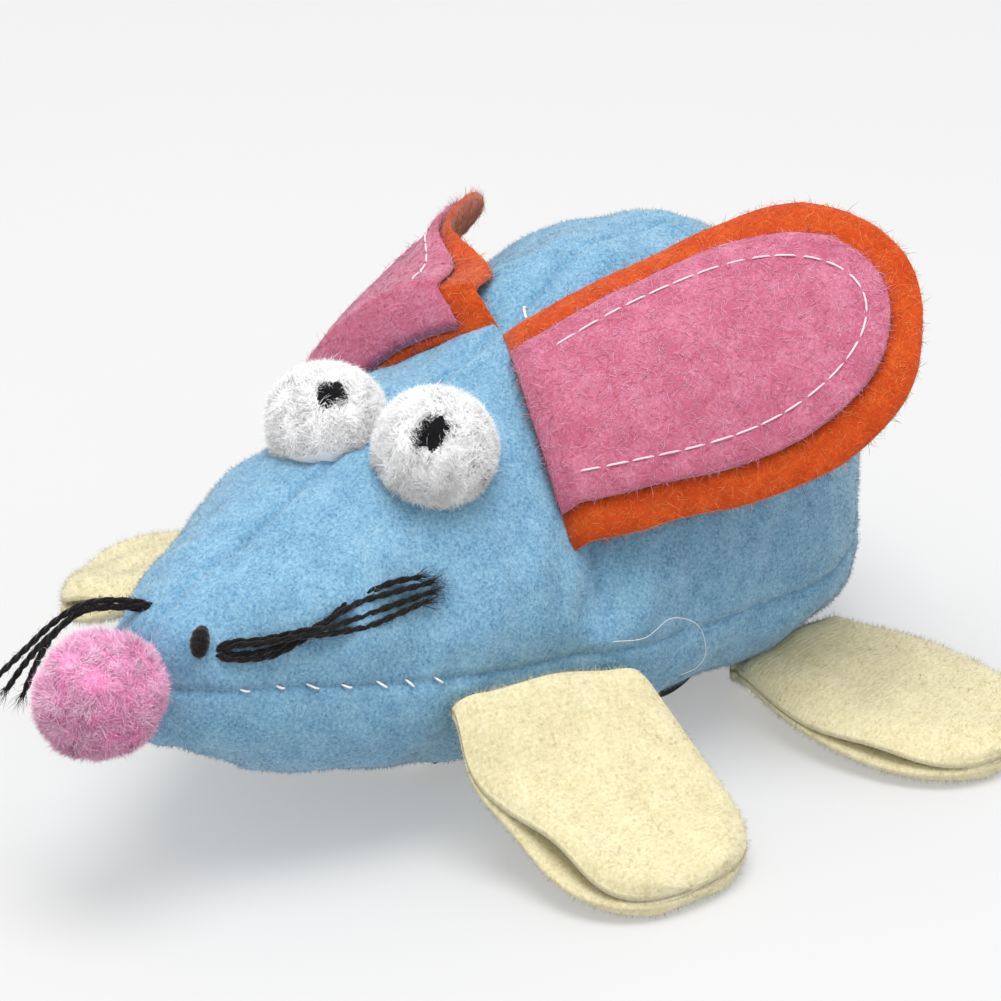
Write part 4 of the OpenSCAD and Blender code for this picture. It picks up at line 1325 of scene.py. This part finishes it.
@dataclass
class Whiskers:
    """Black yarn whiskers: four crossing strands and a knot on the left cheek, three free ones on the right.

    Attributes:
        shape: Outline of the body.
        yarn: The yarn.
        cheek: Routes of the left strands as station, angle and height over the skin.
        knot: Route of the knot in the same way.
        snout: Routes of the right strands in space.
        seeds: Seeds of the fuzz on the left and on the right.
    """

    shape: BodyShape
    yarn: Yarn = field(default_factory=Yarn)
    cheek: tuple[Route, ...] = (
        (
            (39.0, 40.6, -0.3), (38.0, 33.0, 0.75), (35.1, 28.9, 0.6), (32.3, 31.3, 0.65), (30.4, 33.9, 1.0),
            (28.6, 36.4, 0.7), (26.4, 39.2, 0.6), (22.3, 39.4, 0.75), (19.2, 37.3, 0.95),
        ),
        (
            (39.0, 40.0, -0.3), (37.6, 35.2, 0.6), (35.1, 32.0, 0.75), (32.3, 33.4, 0.6), (30.1, 35.2, 0.9),
            (28.0, 36.6, 1.3), (25.6, 37.6, 1.0), (22.5, 36.4, 0.9), (18.2, 34.4, 1.0),
        ),
        (
            (39.0, 41.8, -0.3), (37.6, 42.6, 0.7), (35.4, 38.6, 0.6), (33.3, 36.6, 0.6), (31.3, 34.9, 1.5),
            (29.4, 33.2, 1.3), (25.0, 32.8, 0.6), (21.9, 32.4, 0.6), (18.5, 31.9, 0.9),
        ),
        (
            (39.0, 41.2, -0.3), (37.2, 39.2, 1.2), (35.5, 36.2, 1.3), (33.6, 34.6, 1.5), (31.5, 32.9, 1.6),
            (29.7, 31.0, 1.1), (25.9, 28.9, 0.6), (22.9, 29.3, 0.6), (19.4, 30.0, 0.8),
        ),
    )
    knot: Route = (
        (38.4, 57.5, -0.5), (38.9, 55.5, 0.45), (39.5, 51.0, 0.7), (39.9, 46.5, 0.45), (40.0, 44.0, -0.5),
    )
    snout: tuple[Route, ...] = (
        (
            (37.3, -2.5, 25.2), (38.9, -2.5, 27.2), (41.5, -4.8, 27.8), (43.0, -7.2, 27.0), (44.2, -9.7, 24.8),
            (45.4, -12.2, 21.8), (46.5, -14.8, 18.7), (47.2, -16.4, 17.0),
        ),
        (
            (37.3, -2.3, 25.0), (39.0, -2.2, 26.9), (41.6, -4.5, 27.3), (43.0, -6.9, 26.5), (44.3, -9.2, 24.2),
            (44.7, -11.4, 21.8), (45.0, -13.4, 19.2), (45.9, -14.7, 16.8),
        ),
        (
            (37.6, -2.6, 24.8), (39.3, -2.7, 26.7), (41.9, -5.1, 27.1), (43.2, -7.4, 26.2), (44.2, -9.5, 23.8),
            (44.3, -11.0, 21.6), (44.2, -12.5, 19.2), (45.1, -13.4, 16.2),
        ),
    )

    seeds: tuple[int, int] = (51, 52)

    def build(self) -> list[bpy.types.Object]:
        """Makes both sets.

        Returns:
            The pieces.
        """
        return self.left() + self.right()

    def route(self, stops: Sequence[Sequence[float]]) -> tuple[Array, Array]:
        """Path over the skin through stops of station, angle and height, and the outward way at each point."""
        q = along(stops, self.yarn.points)
        up = self.shape.outward(q[:, 0], q[:, 1])
        return self.shape.skin(q[:, 0], q[:, 1]) + up * (q[:, 2:3] - 0.25), up

    def left(self) -> list[bpy.types.Object]:
        """The four strands and the knot on the left cheek."""
        rng = np.random.default_rng(self.seeds[0])
        strands, hairs = Draft(), []
        for stops in self.cheek:
            path, up = self.route(stops)
            strands.add(self.yarn.plies(path, up))
            hairs += [self.yarn.fuzz(path, up, 260, rng), self.yarn.fray(path, 46, 3.4, rng)]
        path, up = self.route(self.knot)
        t = np.linspace(0.0, 1.0, len(path))
        drop = 0.3 + 0.62 * np.sin(math.pi * np.clip(t, 0.02, 0.98) ** 1.15) ** 0.8
        strands.add(sweep(path[None], drop + 0.03 * np.sin(t * 40.0), up, 14))
        hairs.append(self.yarn.fuzz(path, up, 160, rng) + 0.5 * up[len(up) // 2])
        return self.pair("left", strands, hairs, rng)

    def right(self) -> list[bpy.types.Object]:
        """The three strands that arch over the snout and hang free on the right."""
        rng = np.random.default_rng(self.seeds[1])
        strands, hairs = Draft(), []
        up = np.broadcast_to(np.array([0.35, 0.25, 0.9]), (self.yarn.points, 3))
        for stops in self.snout:
            path = along(stops, self.yarn.points)
            strands.add(self.yarn.plies(path, up))
            hairs += [self.yarn.fuzz(path, up, 240, rng), self.yarn.fray(path, 40, 3.0, rng)]
        return self.pair("right", strands, hairs, rng)

    def pair(self, side: str, strands: Draft, hairs: list[Array], rng: np.random.Generator) -> list[bpy.types.Object]:
        """Makes the strands and the fuzz of one side ride on the body."""
        yarn = strands.piece(f"whisker_yarn_{side}", [YARN])
        fuzz = Draft().add(spikes(np.concatenate(hairs), 0.05, rng)).piece(f"whisker_fuzz_{side}", [YARN_FUZZ])
        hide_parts(f"whiskers_{side}")
        for piece in (yarn, fuzz):
            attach(piece, "root")
        return [yarn, fuzz]


# ---------------------------------------------------------------- ears
@dataclass
class FeltEar:
    """One ear: an orange felt back with a smaller pink lining stitched on it, sewn into the cross seam.

    Attributes:
        side: Name of the side, left or right.
        mirror: 1 for the left ear and -1 for the right one.
        way: Direction in which the ear points, before mirroring.
        sag: Bow of the ear across its middle.
        curl: Forward curl of the upper edge.
        gather: How far that edge is drawn down.
        shift: Move of the seam from its usual place.
        bend: Bend of the tip off the plain of the ear.
        flare: Extra width of the ear further out.
        dive: How far the seam allowance of the back turns down to the body.
        lining_dive: The same for the lining.
        curl_length: Distance from the seam at which the curl is full.
        top: Upper end of the seam.
        bottom: Lower end of the seam.
        length: Length from the seam to the tip.
        base: Width at the seam.
        tip_round: Length of the round tip.
        inset: How far the lining's outline lies inside the back's.
        felt: Thickness of the felt.
        lift: Height of the back's rear face over the seam.
        tuck: Length of the seam allowance.
        wave: Height of the gentle waves.
        rows: Steps along the ear.
        cols: Steps across it.
        hairs: Matted fibres on the back.
        stitch_inset: Distance of the stitches from the lining's edge.
        stitch: Length of a stitch.
        stitch_gap: Gap between two stitches.
        thread: Thickness of the thread.
        stitch_seed: Seed of the stitches' lengths.
        bend_zone: Two distances from the seam; build works out the ear's points there but does not use them.
    """

    side: str
    mirror: float
    way: Triple
    sag: float = 3.2
    curl: float = 0.0
    gather: float = 0.0
    shift: Triple = (0.0, 0.0, 0.0)
    bend: float = 0.0
    flare: float = 4.4
    dive: float = 1.2
    lining_dive: float = 1.2
    curl_length: float = 14.0
    top: Triple = (-8.9, 3.0, 42.0)
    bottom: Triple = (-0.5, 19.0, 26.9)
    length: float = 38.0
    base: float = 24.0
    tip_round: float = 15.0
    inset: float = 3.2
    felt: float = 1.2
    lift: float = 0.6
    tuck: float = 2.2
    wave: float = 0.4
    rows: int = 60
    cols: int = 44
    hairs: int = 16000
    stitch_inset: float = 2.5
    stitch: float = 2.15
    stitch_gap: float = 0.45
    thread: float = 0.22
    stitch_seed: int = 61
    bend_zone: Pair = (-0.5, 5.5)

    def axes(self) -> tuple[Array, Array, Array, Array]:
        """Middle of the seam, the way out, the way across and the way up from the back face."""
        low, high = np.array(self.top), np.array(self.bottom)
        across, out = unit(high - low), unit(np.array(self.way))
        return (low + high) / 2.0 + np.array(self.shift), out, across, unit(np.cross(across, out))

    def point(self, u: Array, v: Array, w: Array) -> Array:
        """Point of the ear: u along it, v across it and w above its rear face, bowed and gently waved."""
        middle, out, across, up = self.axes()
        u, v, w = np.broadcast_arrays(np.asarray(u, float), v, w)
        turned = np.clip(-2.0 * v / self.base, 0.0, None) ** 2 * ramp(u, 3.5, self.curl_length + 1.5)
        bow = self.sag * (1.0 - (2.0 * v / self.base) ** 2) * (1.0 - 0.6 * u / self.length)
        bow = bow + self.curl * turned + self.bend * (np.clip(u, 0.0, None) / self.length) ** 2
        edge = ramp(np.abs(v) / (self.base / 2.0), 0.25, 1.0)
        ripple = self.wave * (np.sin(u / 5.2 + 1.3 * self.mirror) * edge + 0.6 * np.sin(u / 8.5 + v / 6.0 + 0.8))
        ripple = ripple * ramp(u, 1.0, 10.0)
        high = (bow + self.lift + w + ripple)[..., None]
        spot = middle + out * u[..., None] + across * (v + self.gather * turned)[..., None] + up * high
        return spot * np.array([1.0, self.mirror, 1.0])

    def half(self, u: Array, inset: float) -> Array:
        """Half width at distance u of the outline drawn in by inset: a flare, then a round tip."""
        length, base = self.length - inset, self.base - 2.0 * inset
        flat = length - self.tip_round
        q = np.clip((u - flat) / self.tip_round, 0.0, 1.0)
        grown = base / 2.0 + self.flare / 2.0 * np.sin(np.radians(np.clip(90.0 * u / flat, 0.0, 90.0)))
        return grown * np.sqrt(np.maximum(0.0004, 1.0 - q**2))

    def sheet(self, inset: float, low: float, roughen: float, seed: int) -> Shape:
        """Closed felt sheet with softly rounded, hand-cut edges.

        Args:
            inset: Distance from the ear's outline.
            low: Height of its lower face.
            roughen: Unevenness of the cut edge.
            seed: Seed of that unevenness.

        Returns:
            Points and faces.
        """
        s = np.sin(np.linspace(0.0, math.pi / 2.0, self.rows + 1))[:, None]
        u = -self.tuck + (self.length - inset + self.tuck) * s
        c = np.sin(np.linspace(-math.pi / 2.0, math.pi / 2.0, self.cols + 1))[None, :]
        edge = np.maximum(np.abs(c), s**3)
        half = self.half(u, inset)
        jag = roughen * lumps(np.stack([u + 0 * c, c * half, 0 * u * c], -1), 11.0, seed) * edge**6
        v = c * (half + jag)
        u = u + jag * (s**8)
        thick = (1.0 - 0.6 * edge**18) * self.felt / 2.0
        uneven = 0.05 * lumps(np.stack([u + 0 * c, v, 0 * v], -1), 4.0, seed + 1)
        mid = low + self.felt / 2.0
        dive = -(self.dive if inset == 0.0 else self.lining_dive) * ramp(-u, 0.0, self.tuck)
        return shell(self.point(u, v, mid + thick + uneven + dive), self.point(u, v, mid - thick + dive))

    def fibres(self, shape: Shape, count: int, rng: np.random.Generator) -> tuple[Array, Array]:
        """Matted fibres that lie on the felt in every direction, and short ones that stand at the cut edge.

        Args:
            shape: The felt sheet.
            count: Number of fibres.
            rng: Source of their places.

        Returns:
            Paths of the fibres and the direction that the felt faces under each.
        """
        points, faces = shape
        places, away = scatter(points, [Draft.outward(points, faces[0])], count, rng)
        lie = rng.normal(size=places.shape)
        lie = unit(lie - (lie * away).sum(-1, keepdims=True) * away)
        bend = np.cross(away, lie) * rng.normal(scale=0.22, size=(count, 1))
        reach = rng.uniform(0.5, 1.7, (count, 1))
        stand = rng.random((count, 1)) ** 6 * 0.2
        middle = places + lie * reach * 0.5 + away * (0.03 + stand) + bend * reach
        tip = places + lie * reach * 0.95 + bend * reach * 1.6 + away * (stand * 1.2 - 0.03)
        return np.stack([places - away * 0.03, middle, tip], 1), away

    def stitches(self) -> Shape:
        """Machine stitches on the lining: separate arcs of thread along its outline drawn in a little."""
        inset = self.inset + self.stitch_inset
        bend = np.linspace(0.0, math.pi / 2.0, 500)
        u = 0.6 + (self.length - inset - 0.6) * np.sin(bend)
        v = self.half(u, inset)
        line = np.stack([np.concatenate([u, u[::-1]]), np.concatenate([v, -v[::-1]])], -1)
        step = np.concatenate([[0.0], np.cumsum(np.linalg.norm(np.diff(line, axis=0), axis=1))])
        pitch = self.stitch + self.stitch_gap
        starts = np.arange(0.0, step[-1] - pitch, pitch)
        t = np.linspace(0.0, 1.0, 9)
        rng = np.random.default_rng(self.stitch_seed)
        own = self.stitch * rng.uniform(0.86, 1.08, (len(starts), 1))
        at = starts[:, None] + own * t
        flat = np.stack([np.interp(at, step, line[:, k]) for k in (0, 1)], -1)
        arch = 0.13 * np.sqrt(np.clip(1.0 - (2.0 * t - 1.0) ** 6, 0.0, 1.0)) - 0.1
        high = self.felt * 2.0 + 0.05 + 0.1 + arch
        paths = self.point(flat[..., 0], flat[..., 1], high)
        radius = self.thread / 2.0 * (1.0 - 0.4 * np.abs(2.0 * t - 1.0) ** 8)
        up = self.axes()[3] * np.array([1.0, self.mirror, 1.0])
        return sweep(paths, radius, up, 6)

    def build(self) -> list[bpy.types.Object]:
        """Makes the back, the lining, their fibres and the stitches.

        Returns:
            The pieces.
        """
        seed = 70 if self.mirror > 0 else 80
        rng = np.random.default_rng(seed)
        layers = (
            ("back", 0.0, 0.0, 0.1, BACK_FELT, BACK_FIBRES, "ear_felt", 1.0),
            ("lining", self.inset, self.felt + 0.05, 0.08, LINING_FELT, LINING_FIBRES, "lining_felt", 0.9),
        )
        made: list[bpy.types.Object] = []
        for part, inset, low, roughen, felt, shades, slot, share in layers:
            shape = self.sheet(inset, low, roughen, seed + 1)
            draft = Draft().add(shape)
            piece = draft.piece(f"felt_ear_{part}_{self.side}", [felt])
            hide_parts(f"ear_{part}_{self.side}")
            width = self.base - 2.0 * inset + self.flare
            length = self.length - inset + math.hypot(self.tuck, self.dive)
            area = min(draft.area(), 0.99 * width * length) * MM * MM
            paths, away = self.fibres(shape, int(self.hairs * share), rng)
            shade = np.digitize(rng.normal(size=len(paths)), (-0.6, 0.5))
            hairs = Draft().hairs(paths, rng.uniform(0.03, 0.055, len(paths)), shade, away, rng)
            fuzz = hairs.piece(f"felt_fibres_{part}_{self.side}", shades)
            for each in (piece, fuzz):
                made.append(each)
        thread = Draft().add(self.stitches()).piece(f"ear_stitches_{self.side}", [PINK_THREAD])
        made.append(thread)
        start, end = (self.point(np.array(u), np.array(0.0), np.array(self.felt)) for u in self.bend_zone)
        for piece in made:
            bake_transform(piece)
        return made


# ---------------------------------------------------------------- feet
@dataclass
class VelourFoot:
    """One foot: two soft velour layers joined at a turned edge, with a gap where the edge lies open.

    Attributes:
        name: Place of the foot, such as front_left.
        mirror: 1 for a left foot and -1 for a right one.
        root: Middle of the sewn edge, before mirroring.
        heading: Heading of the foot in degrees in plan.
        length: Length in plan.
        drop: Fall from the sewn edge to the toe.
        base: Width at the sewn edge.
        flare: Extra width further out.
        skew: Turn of the sewn edge in degrees.
        rise: Rise of the front end of that edge.
        gape: Height of the opening between the layers at the front edge.
        bulge: Swelling of the front edge near the body.
        stand: How far the front corner of the sewn edge stands off the body.
        tuck: Way in which the seam allowance turns in under the foot.
        start: Share of the length at which the foot leaves the seam.
        allowance: Seam allowance as a share of the length.
        layer: Thickness of one layer.
        rows: Steps along the foot.
        cols: Steps across it.
        hairs: Fibres of the nap on both layers.
        bend_zone: Two shares of the length; build works out the foot's points there but does not use them.
    """

    name: str
    mirror: float
    root: Triple
    heading: float
    length: float
    drop: float
    base: float
    flare: float
    skew: float = 0.0
    rise: float = 0.0
    gape: float = 0.5
    bulge: float = 0.0
    stand: Triple = (0.0, 0.0, 0.0)
    tuck: Triple = (0.0, -4.0, -2.0)
    start: float = 0.04
    allowance: float = 0.12
    layer: float = 2.0
    rows: int = 56
    cols: int = 48
    hairs: int = 26000
    bend_zone: Pair = (-0.02, 0.28)

    def point(self, s: Array, v: Array, w: Array) -> Array:
        """Point of the foot: s from 0 at the body to 1 at the toe, v across it, w above its underside."""
        a = math.radians(self.heading)
        s, v, w = np.broadcast_arrays(np.asarray(s, float), v, w)
        turned = np.clip((self.start - s) / self.allowance, 0.0, None)
        inward = turned[..., None] * np.array(self.tuck)
        v = v * (1.0 - 0.42 * ramp(turned, 0.0, 1.3))
        off = ramp(v * 2.0 / self.base, -0.4, 1.0) * (1.0 - ramp(s, 0.0, 0.45))
        shift = inward + off[..., None] * np.array(self.stand)
        s = np.maximum(s, self.start)
        run = self.length * s
        fall = self.drop * (1.0 - np.clip(1.0 - s, 0.0, None) ** 1.7)
        b = a - math.radians(self.skew) * (1.0 - s)
        x = self.root[0] + math.cos(a) * run + np.sin(b) * v
        y = self.root[1] + math.sin(a) * run - np.cos(b) * v
        tilt = self.rise * 2.0 * v / self.base * (1.0 - s)
        spot = np.stack([x, y, self.root[2] + w - fall + tilt], -1) + shift
        return spot * np.array([1.0, self.mirror, 1.0])

    def half(self, s: Array) -> Array:
        """Half width at s: a flare towards the middle and a blunt round toe."""
        q = np.clip((s - 0.5) / 0.5, 0.0, 1.0)
        grown = self.base / 2.0 + self.flare / 2.0 * np.sin(np.radians(np.clip(180.0 * s, -20.0, 90.0)))
        return grown * np.maximum(0.0004, 1.0 - q**2.6) ** 0.42

    def sheet(self, top: bool) -> tuple[Array, list[Array], Array]:
        """One padded layer whose faces close in to a thin rounded edge.

        Args:
            top: Whether it is the upper layer.

        Returns:
            Points, faces and the flat position of each point.
        """
        seed = int(self.heading) + (3 if top else 4)
        s = np.sin(np.linspace(0.0, math.pi / 2.0, self.rows + 1))[:, None]
        s = -self.allowance + (1.0 + self.allowance) * s
        c = np.sin(np.linspace(-math.pi / 2.0, math.pi / 2.0, self.cols + 1))[None, :]
        edge = np.clip(np.maximum(np.abs(c), np.clip(s, 0, 1) ** 6), 0.0, 1.0)
        mouth = ramp(c, 0.35, 1.0) * bell(s - 0.66, 0.2)
        v = c * self.half(s) + self.bulge * ramp(c, 0.2, 1.0) * bell(s - 0.27, 0.16)
        v = v - 0.75 * self.gape * mouth * top
        flat = np.stack([v, self.length * s + 0 * v], -1)
        spot = np.concatenate([flat, 0 * flat[..., :1]], -1)
        body = self.layer / 2.0 * np.maximum(0.3, np.clip(1.0 - edge**8, 0.0, 1.0) ** 0.5)
        crown = 0.9 * (1.0 - c**4) * ramp(np.clip(s, 0, 1), 0.0, 0.3) * (1.0 - np.clip(s, 0, 1) ** 6)
        uneven = 0.16 * lumps(spot, 7.0, seed) * (1.0 - edge**8)
        if top:
            mid = self.layer * 1.5 - 0.1 + crown * 0.7 + uneven + self.gape * mouth
            mid = mid - 0.62 * edge**5 * (1.0 - np.clip(mouth, 0.0, 1.0))
        else:
            mid = self.layer * 0.5 + 0.05 + 0.5 * edge**5 * (1.0 - 0.6 * mouth)
        upper = self.point(s, v, mid + body)
        lower = self.point(s, v, mid - body)
        points, faces = shell(upper, lower)
        return points, faces, np.concatenate([flat.reshape(-1, 2)] * 2)

    def build(self) -> list[bpy.types.Object]:
        """Makes the two layers and their nap.

        Returns:
            The pieces.
        """
        rng = np.random.default_rng(90 + int(self.heading) + (0 if self.mirror > 0 else 1))
        made, hairs, aims = [], [], []
        for part, top in (("top", True), ("sole", False)):
            points, faces, flat = self.sheet(top)
            piece = Draft().add((points, faces), cloth=flat).piece(f"velour_{part}_{self.name}", [VELOUR])
            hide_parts(f"foot_{part}_{self.name}")
            made.append(piece)
            places, away = scatter(points, [Draft.outward(points, faces[0])], self.hairs // 2, rng)
            lean = unit(rng.normal(size=places.shape) + 0.6 * away)
            reach = rng.uniform(0.3, 0.85, (len(places), 1))
            tips = places + reach * unit(away * 0.8 + 0.9 * lean)
            tips[:, 2] = np.maximum(tips[:, 2], 0.02)
            hairs.append(np.stack([places - 0.04 * away, tips], 1))
            aims.append(away)
        paths = np.concatenate(hairs)
        shade = (rng.random(len(paths)) < 0.5).astype(int)
        nap = Draft().hairs(paths, rng.uniform(0.03, 0.05, len(paths)), shade, np.concatenate(aims), rng)
        made.append(nap.piece(f"velour_nap_{self.name}", VELOUR_NAP))
        start, end = (self.point(np.array(s), np.array(0.0), np.array(self.layer)) for s in self.bend_zone)
        for piece in made:
            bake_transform(piece)
        return made


# ---------------------------------------------------------------- motor and studio
@dataclass
class WindUpMotor:
    """The hard parts that keep their CAD shape and get their real finishes.

    Attributes:
        nodes: Object of each CAD part.
        slots: Material slot of each CAD part.
    """

    nodes: dict[str, bpy.types.Object]
    slots: dict[str, str]

    def dress(self) -> None:
        """Gives every CAD part the finish of its material slot."""
        for name, part in self.nodes.items():
            finish = PART_FINISHES[self.slots[name]]
            part.data.materials.clear()
            part.data.materials.append(finish.material())
            log.info("%s: %s", name, finish.name)


@dataclass
class Studio:
    """Pale table, soft daylight and the camera.

    Attributes:
        target: Point that the camera looks at.
        azimuth: Heading of the camera from the mouse, in degrees.
        elevation: Height of the camera in degrees.
        distance: Distance of the camera.
        lens: Focal length on a sensor 36 mm wide.
        table_half: Half the side of the table top.
        table_shade: Shade of the table top.
        table_glow: Light that the table top gives off itself, as a lit sheet of white acrylic does.
        sky: Strength of the sky.
        lamp_power: Power of the lamp in watts.
        lamp_size: Width of the lamp.
        lamp_at: Place of the lamp.
    """

    target: Triple = (-8.0, 0.0, 22.0)
    azimuth: float = 41.0
    elevation: float = 25.0
    distance: float = 430.0
    lens: float = 154.65
    table_half: float = 4000.0
    table_shade: Colour = (161, 161, 161)
    table_glow: float = 0.36
    sky: float = 0.92
    lamp_power: float = 3.3
    lamp_size: float = 440.0
    lamp_at: Triple = (90.0, 60.0, 640.0)

    def build(self) -> None:
        """Makes the table, the light and the camera."""
        self.camera()
        self.table()
        self.light()
        bpy.context.scene.view_settings.view_transform = "Standard"

    def camera(self) -> None:
        """A long lens that looks down on the mouse from its front left."""
        a, e = math.radians(self.azimuth), math.radians(self.elevation)
        back = np.array([math.cos(e) * math.cos(a), math.cos(e) * math.sin(a), math.sin(e)])
        right = np.array([-math.sin(a), math.cos(a), 0.0])
        data = bpy.data.cameras.new("camera")
        data.lens, data.sensor_width, data.clip_start, data.clip_end = self.lens, 36.0, 0.01, 50.0
        made = bpy.data.objects.new("camera", data)
        bpy.context.scene.collection.objects.link(made)
        self.aim(made, np.array(self.target) + self.distance * back, back, right)
        bpy.context.scene.camera = made

    def table(self) -> None:
        """A wide pale table top at the height of the wheels' lowest point."""
        h, low = self.table_half, -0.02
        corners = np.array([[-h, -h, low], [h, -h, low], [h, h, low], [-h, h, low]])
        finish = Moulded("pale_table", self.table_shade, self.table_shade, 0.9, 2.0, 0.002)
        made = Draft().add((corners, [np.array([[0, 1, 2, 3]])])).piece("table", [finish], smooth=False)
        surface = made.data.materials[0].node_tree.nodes["Principled BSDF"].inputs
        surface["Emission Color"].default_value = (1.0, 1.0, 1.0, 1.0)
        surface["Emission Strength"].default_value = self.table_glow

    def light(self) -> None:
        """An even white sky and one wide lamp overhead."""
        world = bpy.data.worlds.new("daylight")
        bpy.context.scene.world = world
        world.use_nodes = True
        sky = world.node_tree.nodes["Background"]
        sky.inputs["Color"].default_value = (1.0, 1.0, 1.0, 1.0)
        sky.inputs["Strength"].default_value = self.sky
        data = bpy.data.lights.new("lamp", "AREA")
        data.shape, data.size, data.energy = "DISK", self.lamp_size * MM, self.lamp_power
        made = bpy.data.objects.new("lamp", data)
        bpy.context.scene.collection.objects.link(made)
        at = np.array(self.lamp_at)
        middle = np.array([-5.0, 0.0, 20.0])
        back = unit(at - middle)
        right = unit(np.cross(np.array([0.0, 1.0, 0.0]), back))
        self.aim(made, at, back, right)

    @staticmethod
    def aim(made: bpy.types.Object, at: Array, back: Array, right: Array) -> None:
        """Puts a camera or a lamp at a place, with its Z axis along back and its X axis along right."""
        pose = np.eye(4)
        pose[:3, :3] = np.stack([right, np.cross(back, right), back], 1)
        pose[:3, 3] = at * MM
        made.matrix_world = Matrix(pose.tolist())


def main() -> None:
    logging.basicConfig(level=logging.INFO, format="%(name)s: %(message)s")
    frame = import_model()
    Studio().build()
    slots = {row["node"]: row["material_slot"] for row in frame["record"]["subparts"]}
    WindUpMotor(frame["nodes"], slots).dress()
    shape = BodyShape()
    body = FleeceBody(shape)
    body.build()
    SeamThread(body).build()
    Pompom(
        "nose_pompom", (47.7, 0.0, 22.0), 6.3, NOSE_CORE, NOSE_FIBRES, shape, "nose_pompom", seed=101, facets=0.028
    ).build()
    for side, at, look, spot, seed in (
        ("left", (11.1, 8.4, 36.7), (0.60, 0.48, 0.64), (2.2, 1.6), 111),
        ("right", (12.6, -4.2, 36.2), (0.35, 0.46, 0.82), (1.8, 1.4), 131),
    ):
        Pompom(
            f"eye_pompom_{side}", at, 6.2, EYE_CORE, EYE_FIBRES, shape, "eye_pompom", seed=seed, pupil=look, spot=spot
        ).build()
    Whiskers(shape).build()
    FeltEar("left", 1.0, way=(-29.5, 20.68, 12.1), sag=2.93, shift=(0.78, 0.0, -0.68), bend=-1.69).build()
    FeltEar(
        "right", -1.0, way=(-34.0, 20.63, -3.5), sag=3.45, curl=4.25, gather=3.68, shift=(0.05, 0.0, 0.75),
        flare=3.4, dive=5.0, lining_dive=4.5,
    ).build()
    VelourFoot(
        "front_left", 1.0, root=(8.2, 19.8, 12.4), heading=78.9, length=22.5, drop=12.3, base=19.5, flare=2.4,
        skew=14.9, rise=0.5, gape=1.4, bulge=1.3, stand=(2.4, 2.1, 1.5),
    ).build()
    VelourFoot(
        "front_right", -1.0, root=(8.8, 20.8, 13.4), heading=80.5, length=18.2, drop=6.4, base=19.5, flare=2.4,
        skew=2.0, rise=1.2, gape=0.6,
    ).build()
    for side, mirror in (("left", 1.0), ("right", -1.0)):
        VelourFoot(
            f"rear_{side}", mirror, root=(-27.5, 21.4, 3.4), heading=95.6, length=27.2, drop=3.3, base=14.8,
            flare=7.8, skew=8.2, gape=0.4,
        ).build()


if __name__ == "__main__":
    main()
